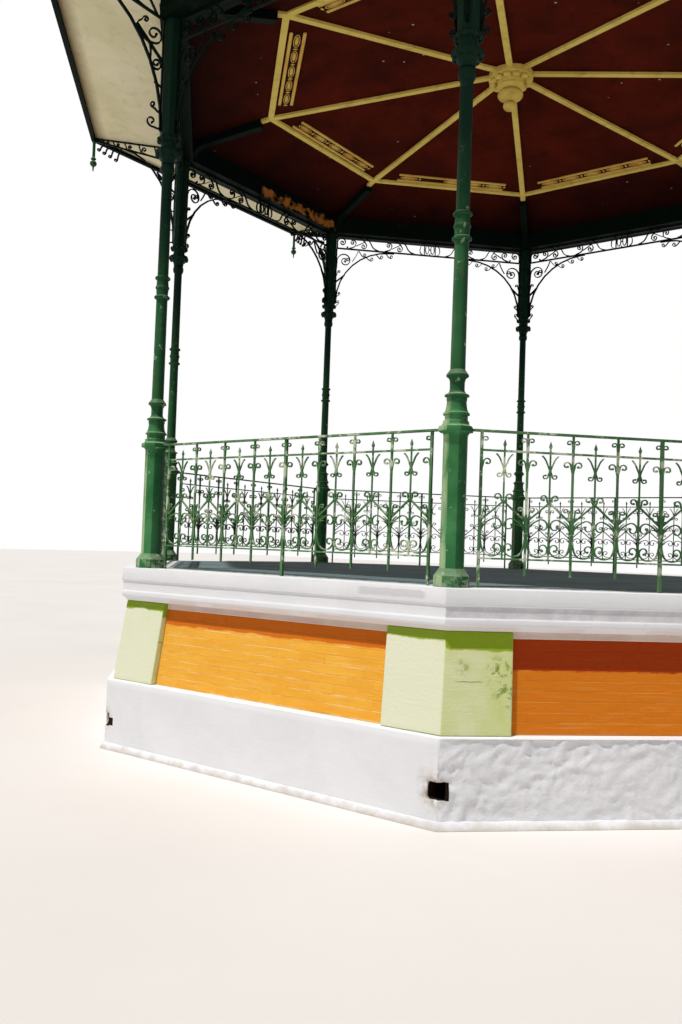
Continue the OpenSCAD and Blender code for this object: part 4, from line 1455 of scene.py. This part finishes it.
@dataclass
class SpandrelBrackets(Part):
    """Scrolled corner brackets under the frieze, two to each column, with y from the column's axis."""

    foot: float = 3.810
    head: float = 4.570
    near: float = 0.086
    reach: float = 0.874
    depth: float = 0.020
    thick: float = 0.022
    fine: float = 0.010
    # The upright and the strap that props the sweep.
    straight: tuple[Forging, ...] = (
        Forging(0.014, ((0.086, 3.760), (0.086, 4.568))),
        Forging(0.022, ((0.086, 4.085), (0.206, 4.190))),
    )
    # The spiral with the scroll inside it, the loop on the upright, the tie and the curl under the frieze.
    forgings: tuple[Forging, ...] = (
        Forging(0.014, ((0.090, 4.290, 90.0),), (0.206, 4.405, 0.112, 180.0, -600.0, 0.16)),
        Forging(0.010, ((0.196, 4.388, 100.0),), (0.252, 4.420, 0.030, 160.0, -340.0, 0.3)),
        Forging(0.010, ((0.086, 4.150, 80.0),), (0.130, 4.234, 0.024, 178.0, -330.0)),
        Forging(0.010, ((0.318, 4.402, 58.0), (0.400, 4.560, 72.0))),
        Forging(0.010, ((0.410, 4.560, -48.0),), (0.492, 4.512, 0.028, -66.0, 330.0)),
    )
    sweep_hooks: tuple[tuple[float, float, float], ...] = (
        (0.600, 0.062, 0.030), (0.745, 0.056, 0.030), (0.890, 0.050, 0.028))
    foot_hooks: tuple[tuple[float, float, float, float], ...] = (
        (3.790, 0.118, 0.027, -40.0), (3.920, 0.134, 0.022, -58.0))

    def on_arc(self, y: float) -> float:
        """Height of the sweep at a distance from the column's axis."""
        share = (self.reach - y) / (self.reach - self.near)
        return self.foot + (self.head - self.foot) * math.sqrt(max(0.0, 1.0 - share * share))

    def motif(self) -> bpy.types.Mesh:
        """Forges a bracket."""
        bench = Bench()
        width, rise = self.reach - self.near - 0.006, self.head - self.foot - 0.006
        sweep = Path(self.near + 0.006, self.foot - 0.04)
        sweep.arc(self.reach, self.foot, width, rise, 180.0, 90.0)
        bench.bar(sweep.line(self.reach + 0.06, self.head - 0.007), self.depth, self.thick, 0.7)
        for forging in self.straight + self.forgings:
            forging.forge(bench, self.depth)
        for y, drop, radius in self.sweep_hooks:
            hook = Path(y - 0.085, self.on_arc(y - 0.085) - 0.004, -36.0)
            bench.scroll(hook.volute(y, self.on_arc(y) - drop, radius, -104.0, 330.0), self.depth, self.fine)
        for z, out, radius, angle in self.foot_hooks:
            hook = Path(self.near - 0.002, z - 0.085, 58.0)
            bench.scroll(hook.volute(out, z, radius, angle, 330.0), self.depth, self.fine)
            bench.disc(self.near + 0.004, z - 0.088, 0.014, self.depth)
        return bench.motif("spandrel")

    def build(self) -> None:
        """Fixes the sixteen brackets."""
        start = shifted(0.0, -self.plan.half_side, 0.0)
        middles = [self.plan.between_columns(number) for number in self.plan.numbers]
        bench = Bench()
        bench.spread(self.motif(), [where @ turn @ start for where in middles for turn in (Matrix(), MIRROR)])
        bench.piece("spandrel_scrolls", self.finishes.dark_iron, "wrought_green", ["spandrel_brackets"])


@dataclass
class EaveBrackets(Part):
    """Long scrolled brackets that carry the eave's corners, with y counted from the stand's centre."""

    near: float = 3.930
    out: float = 5.013
    foot: float = 3.810
    chord_start: float = 4.758
    band: float = 0.030
    arc_reach: float = 0.693
    soffit_start: tuple[float, float] = (3.984, 4.930)
    soffit_slope: float = 0.19724
    depth: float = 0.022
    thick: float = 0.022
    stem: float = 0.014
    fine: float = 0.011
    # The strap that props the sweep, the curls between the upright and the sweep, the hooks at the foot.
    forgings: tuple[Forging, ...] = (
        Forging(0.022, ((3.937, 4.390), (4.180, 4.660))),
        Forging(0.014, ((4.176, 4.654, -118.0), (4.050, 4.532, -176.0)),
                (4.024, 4.610, 0.078, -128.0, -420.0, 0.26)),
        Forging(0.014, ((4.055, 4.505, -112.0), (4.005, 4.312, -170.0)),
                (3.994, 4.360, 0.050, -118.0, -400.0, 0.28)),
        Forging(0.011, ((4.170, 4.672, 118.0),), (4.098, 4.716, 0.030, 12.0, 330.0)),
        Forging(0.011, ((3.940, 4.165), (4.005, 4.200))),
        Forging(0.011, ((3.936, 3.800, -20.0),), (4.012, 3.852, 0.050, -96.0, 350.0, 0.30)),
        Forging(0.011, ((3.948, 3.940, 12.0),), (4.004, 4.000, 0.028, -84.0, 330.0)),
    )
    band_starts: tuple[tuple[float, float], ...] = (
        (4.060, 0.050), (4.270, 0.038), (4.460, 0.029), (4.620, 0.022), (4.760, 0.016))
    fan: tuple[tuple[float, float], ...] = ((4.740, 4.855), (4.822, 4.905), (4.902, 4.952), (4.976, 5.000))

    @property
    def chord_slope(self) -> float:
        """Rise of the lower chord for a step out of one."""
        return (self.top(self.out) - self.band - self.chord_start) / (self.out - self.near)

    def top(self, y: float) -> float:
        """Height of the upper chord's middle."""
        return self.soffit_start[1] + self.soffit_slope * (y - self.soffit_start[0])

    def low(self, y: float) -> float:
        """Height of the lower chord's middle."""
        return self.chord_start + self.chord_slope * (y - self.near)

    def outline(self, bench: Bench) -> None:
        """Forges the upright, both chords, the end and the sweep, sheared to run into the lower chord."""
        post = self.near + self.stem / 2
        start = self.soffit_start[0] + 0.008
        end = self.out - 0.006
        for thick, tip, foot, head in (
                (self.stem, 1.0, (post, self.foot - 0.02), (post, self.top(self.near) - 0.09)),
                (self.stem, 1.0, (start, self.top(start)), (self.out, self.top(self.out))),
                (self.thick, 0.6, (post, self.low(post)), (self.out, self.low(self.out))),
                (self.stem, 1.0, (end, self.low(self.out) - 0.006), (end, self.top(self.out)))):
            bench.bar(Path(*foot).line(*head), self.depth, thick, tip)
        rise = self.chord_start - self.foot
        sweep = Path(self.near, self.foot - 0.03)
        sweep.arc(self.near + self.arc_reach, self.foot, self.arc_reach, rise, 180.0, 90.0)
        for point in sweep.points:
            point.z += self.chord_slope * (point.y - self.near)
        bench.bar(sweep, self.depth, self.thick)

    def band_scrolls(self, bench: Bench) -> None:
        """Forges what fills the band between the chords, getting smaller towards the tip."""
        bench.bar(Path(3.995, self.low(3.995)).line(4.100, self.top(4.100)), self.depth, self.stem)
        for start, radius in self.band_starts:
            middle = (self.low(start + 0.09) + self.top(start + 0.09)) / 2
            hook = Path(start - 0.03, self.low(start - 0.03), 22.0)
            bench.scroll(hook.volute(start + 0.09, middle, radius, -62.0, 350.0, 0.3), self.depth, self.fine)
            tie = Path(start + 0.13, self.low(start + 0.13)).line(start + 0.17, self.top(start + 0.17))
            bench.bar(tie, self.depth, self.fine)

    def build(self) -> None:
        """Fixes the eight brackets and dresses the drops at their ends."""
        bench = Bench()
        self.outline(bench)
        self.band_scrolls(bench)
        for forging in self.forgings:
            forging.forge(bench, self.depth)
        for y, z in self.fan:
            hook = Path(y - 0.075, self.low(y - 0.075), -62.0)
            bench.scroll(hook.volute(y, z, 0.024, 186.0, 330.0), self.depth, self.fine)
        motif = bench.motif("eave_bracket")
        bench = Bench()
        bench.spread(motif, map(self.plan.out_from_axis, self.plan.numbers))
        bench.piece("eave_bracket_scrolls", self.finishes.dark_iron, "wrought_green", ["eave_brackets"])
        self.finishes.dress(self.finishes.pendant, "eave_pendants")


@dataclass
class Columns(Part):
    """The cast columns and pedestals."""

    leaf_rings: tuple[tuple[float, float, float], ...] = ((0.094, 3.592, 0.034), (0.084, 3.710, 0.024))
    leaves: int = 10

    def build(self) -> None:
        """Rounds the pedestals' arrises, dresses the columns and sets the leaves round their capitals."""
        bench = Bench()
        bench.take("pedestals")
        bench.soften(0.0035, 20.0)
        bench.piece("pedestal_castings", self.finishes.cast, "cast_green", ["pedestals"], 40.0)
        self.finishes.dress(self.finishes.cast, *[f"column_{number}" for number in self.plan.numbers])
        bench = Bench()
        for radius, height, tall in self.leaf_rings:
            bench.balls_round(self.leaves, radius, height, (0.022, 0.022, tall))
        capital = bench.motif("leaves")
        foot = shifted(self.plan.circle, 0.0, self.plan.floor)
        bench = Bench()
        bench.spread(capital, [self.plan.corner(number) @ foot for number in self.plan.numbers])
        bench.piece("capital_leaves", self.finishes.cast, "cast_green", smooth=60.0)


@dataclass
class Eave(Part):
    """Beam, fascia and soffit."""

    proud: float = 0.010
    bead_h: float = 0.026

    def mouldings(self) -> None:
        """Runs a bead along the top and the bottom of the fascia, and two along the beam."""
        low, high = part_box("fascia")
        corner = high.x / self.plan.cosine
        back, front = corner - 0.006, corner + self.proud
        bench = Bench()
        for foot in (low.z + 0.004, high.z - self.bead_h - 0.012):
            head = foot + self.bead_h
            bench.ring([(back, foot), (front - 0.003, foot), (front, foot + 0.004), (front, head - 0.004),
                        (front - 0.003, head), (back, head)], self.plan.sides)
        bench.piece("fascia_beads", self.finishes.dark_timber, "dark_green_wood")
        low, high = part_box("eave_beam")
        corner = high.x / self.plan.cosine
        back, front = corner - 0.006, corner + 0.008
        bench = Bench()
        for foot in (low.z + 0.10, low.z + 0.175):
            bench.ring([(back, foot), (front, foot + 0.006), (front, foot + 0.020), (back, foot + 0.026)],
                       self.plan.sides)
        bench.piece("beam_beads", self.finishes.dark_timber, "dark_green_wood")

    def build(self) -> None:
        """Dresses the eave and adds its mouldings."""
        self.finishes.dress(self.finishes.dark_timber, "fascia", "hip_rafters")
        self.finishes.dress(self.finishes.beam, "eave_beam")
        self.finishes.dress(self.finishes.soffit, "soffit")
        self.mouldings()


@dataclass
class Ceiling(Part):
    """Red boards, cream battens, the hub and the pierced grilles."""

    board_t: float = 0.020
    grille_t: float = 0.018
    grille_w: float = 0.170
    grille_half: float = 0.739
    strip: float = 0.034
    oval_step: float = 0.296
    oval: tuple[float, float] = (0.030, 0.110)
    lost_share: float = 0.05
    lobes: int = 12

    def oval_motif(self, middle: float, y: float) -> bpy.types.Mesh:
        """Casts one oval of the chain with its leaf and the link to the next."""
        bench = Bench()
        bench.bar(Path(middle + self.oval[0], y).arc(middle, y, *self.oval, 0.0, 360.0), 0.007, 0.007)
        bench.ball((0.0, middle, y), (0.004, 0.018, 0.082), 8, 6)
        bench.ball((0.0, middle, y + self.oval_step / 2), (0.005, 0.024, 0.014), 8, 6)
        return bench.motif("oval")

    def grilles(self) -> None:
        """Casts the grilles: two strips, with a chain of ovals on a dark sheet between them, painted shade
        for the opening.
        """
        low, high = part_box("vent_grilles")
        ceiling_low, ceiling_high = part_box("inner_ceiling")
        tilt = math.degrees(math.atan2(ceiling_high.z - ceiling_low.z - self.board_t, ceiling_high.x))
        iron, backs = Bench(), Bench()
        chance = random.Random(7)
        middle = -self.grille_w / 2
        width, length = self.grille_w - 2 * self.strip, 2 * self.grille_half
        count = int(self.grille_half / self.oval_step)
        upright = shifted(0.0, 0.0, -0.011) @ spun(90.0, "Y") @ spun(90.0, "X")
        for number in self.plan.numbers:
            where = (self.plan.side(number) @ shifted(high.x, 0.0, low.z + self.grille_t / self.plan.cosine)
                     @ spun(tilt, "Y"))
            for x in (-self.grille_w + self.strip / 2, -self.strip / 2):
                iron.block((self.strip, length, self.grille_t),
                           where @ shifted(x, 0.0, -self.grille_t / 2), 0.004)
            # A dark sheet, painted shade, stands for the opening behind the ovals.
            backs.block((width, length, 0.006), where @ shifted(middle, 0.0, -0.004))
            for step in range(-count, count + 1):
                y = step * self.oval_step
                if abs(y) > self.grille_half - self.oval[1] - 0.01 or chance.random() < self.lost_share:
                    continue
                iron.spread(self.oval_motif(middle, y), [where @ upright])
        iron.piece("vent_grille_castings", self.finishes.grille, "batten_cream", ["vent_grilles"])
        backs.piece("vent_opening_shade", self.finishes.pierced, "ceiling_red")

    def build(self) -> None:
        """Dresses the ceiling, casts the grilles and sets the petals round the hub's rim."""
        self.finishes.dress(self.finishes.ceiling, "outer_ceiling", "inner_ceiling")
        self.finishes.dress(self.finishes.batten, "ceiling_battens", "hub")
        self.grilles()
        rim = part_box("hub")[1]
        bench = Bench()
        bench.balls_round(self.lobes, rim.x - 0.047, rim.z - 0.086, (0.046, 0.046, 0.030), 12, 0.5)
        bench.piece("hub_petals", self.finishes.batten, "batten_cream", smooth=60.0)


@dataclass
class Roof(Part):
    """Metal covering with standing seams, hip rolls and finial."""

    covering_t: float = 0.030
    seam_step: float = 0.56
    seam: tuple[float, float] = (0.020, 0.026)
    shortest: float = 0.2
    eave_clear: float = 0.03
    hip_clear: float = 0.055

    def build(self) -> None:
        """Dresses the roof and folds the standing seams up every slope."""
        self.finishes.dress(self.finishes.roof, "roof_covering", "hip_rolls", "finial")
        low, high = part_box("roof_covering")
        rise = high.z - low.z - self.covering_t
        slope = math.degrees(math.atan2(rise, high.x))
        tangent = self.plan.tangent
        last = int(high.x * tangent / self.seam_step)
        start = high.x - self.eave_clear
        foot = low.z + self.covering_t + self.eave_clear * rise / high.x
        wide, tall = self.seam
        bench = Bench()
        for number in self.plan.numbers:
            for step in range(-last, last + 1):
                y = step * self.seam_step
                end = abs(y) / tangent + self.hip_clear / tangent
                if start - end < self.shortest:
                    continue
                run = (start - end) / math.cos(math.radians(slope))
                where = self.plan.side(number) @ shifted(start, y, foot) @ spun(slope, "Y")
                bench.block((run, wide, tall), where @ shifted(-run / 2, 0.0, tall / 2 - 0.002), 0.004)
        bench.piece("roof_seams", self.finishes.roof, "roof_metal")


@dataclass
class Stage:
    """The plain floor, the lamps and the camera."""

    floor_half: float = 90.0
    sun_azimuth: float = -103.0
    sun_height: float = 67.0
    sun_distance: float = 20.0
    sun_power: float = 3.1
    sun_angle: float = 1.2
    sun_colour: tuple[float, float, float] = (1.0, 0.975, 0.93)
    sky_power: float = 0.22
    sky_colour: Colour = (0.94, 0.97, 1.0, 1.0)
    camera_place: tuple[float, float, float] = (4.474, -8.834, 1.745)
    camera_forward: tuple[float, float, float] = (-0.5953, 0.8027, 0.0352)
    camera_roll: float = -2.0494
    lens: float = 31.86
    sensor: float = 36.0
    frame_long_side: float = 1024.0
    centre_offset: float = 2.0

    def floor(self) -> None:
        """Lays the pale floor, which keeps the stand's shadow."""
        bm = bmesh.new()
        bmesh.ops.create_grid(bm, x_segments=1, y_segments=1, size=self.floor_half,
                              matrix=shifted(0, 0, -0.002))
        mesh = bpy.data.meshes.new("stage_floor")
        bm.to_mesh(mesh)
        bm.free()
        graph = Graph("pale_floor")
        colour = graph.mix(graph.cloud((0.35, 4.0), (0.3, 0.7)), paint(232, 228, 226), paint(226, 222, 220))
        mesh.materials.append(graph.finish(colour, 0.9))
        item = bpy.data.objects.new("stage_floor", mesh)
        bpy.context.scene.collection.objects.link(item)

    def sky(self) -> None:
        """Lights the stand from all round, and shows white to the camera and to reflections."""
        world = bpy.data.worlds.new("studio")
        bpy.context.scene.world = world
        wiring = Wiring(world)
        soft = wiring.add("ShaderNodeBackground", {"Color": self.sky_colour, "Strength": self.sky_power})
        white = wiring.add("ShaderNodeBackground", {"Color": (1.0, 1.0, 1.0, 1.0), "Strength": 1.0})
        rays = wiring.add("ShaderNodeLightPath").outputs
        seen = wiring.sums("MAXIMUM", rays["Is Camera Ray"], rays["Is Glossy Ray"])
        seen = wiring.sums("MAXIMUM", seen, rays["Is Transmission Ray"])
        mix = wiring.add("ShaderNodeMixShader")
        for source, target in zip((seen, soft.outputs[0], white.outputs[0]), mix.inputs):
            wiring.wire(source, target)
        wiring.wire(mix.outputs[0], wiring.add("ShaderNodeOutputWorld").inputs[0])

    def sun(self) -> None:
        """Sets one lamp high in front, a little to the left."""
        lamp = bpy.data.lights.new("key_sun", "SUN")
        lamp.energy = self.sun_power
        lamp.angle = math.radians(self.sun_angle)
        lamp.color = self.sun_colour
        item = bpy.data.objects.new("key_sun", lamp)
        azimuth, height = math.radians(self.sun_azimuth), math.radians(self.sun_height)
        toward = Vector((math.cos(azimuth) * math.cos(height), math.sin(azimuth) * math.cos(height),
                         math.sin(height)))
        item.rotation_euler = toward.to_track_quat("Z", "Y").to_euler()
        item.location = toward * self.sun_distance
        bpy.context.scene.collection.objects.link(item)

    def camera(self) -> None:
        """Stands the camera where the photograph was taken from."""
        forward = Vector(self.camera_forward).normalized()
        right = forward.cross(Vector((0, 0, 1))).normalized()
        up = right.cross(forward)
        roll = math.radians(self.camera_roll)
        rolled_up = up * math.cos(roll) + right * math.sin(roll)
        rolled_right = right * math.cos(roll) - up * math.sin(roll)
        lens = bpy.data.cameras.new("camera")
        lens.lens = self.lens
        lens.sensor_width = self.sensor
        lens.shift_x = -self.centre_offset / self.frame_long_side
        lens.shift_y = self.centre_offset / self.frame_long_side
        lens.clip_end = 500.0
        item = bpy.data.objects.new("camera", lens)
        item.matrix_world = Matrix.Translation(self.camera_place) @ Matrix(
            (rolled_right, rolled_up, -forward)).transposed().to_4x4()
        bpy.context.scene.collection.objects.link(item)
        bpy.context.scene.camera = item

    def build(self) -> None:
        """Sets the stage."""
        bpy.context.scene.view_settings.view_transform = "Standard"
        self.floor()
        self.sky()
        self.sun()
        self.camera()


def main() -> None:
    """Builds and dresses the stand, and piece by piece."""
    logging.basicConfig(level=logging.INFO, format="%(name)s %(message)s")
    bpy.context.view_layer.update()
    plan = Plan()
    finishes = Finishes()
    for part in (MasonryBase, BrickPanels, Columns, Railings, Friezes, SpandrelBrackets, EaveBrackets, Eave,
                 Ceiling, Roof):
        part(plan, finishes).build()
        log.info("%s done", part.__name__)
    Stage().build()
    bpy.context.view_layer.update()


if __name__ == "__main__":
    main()
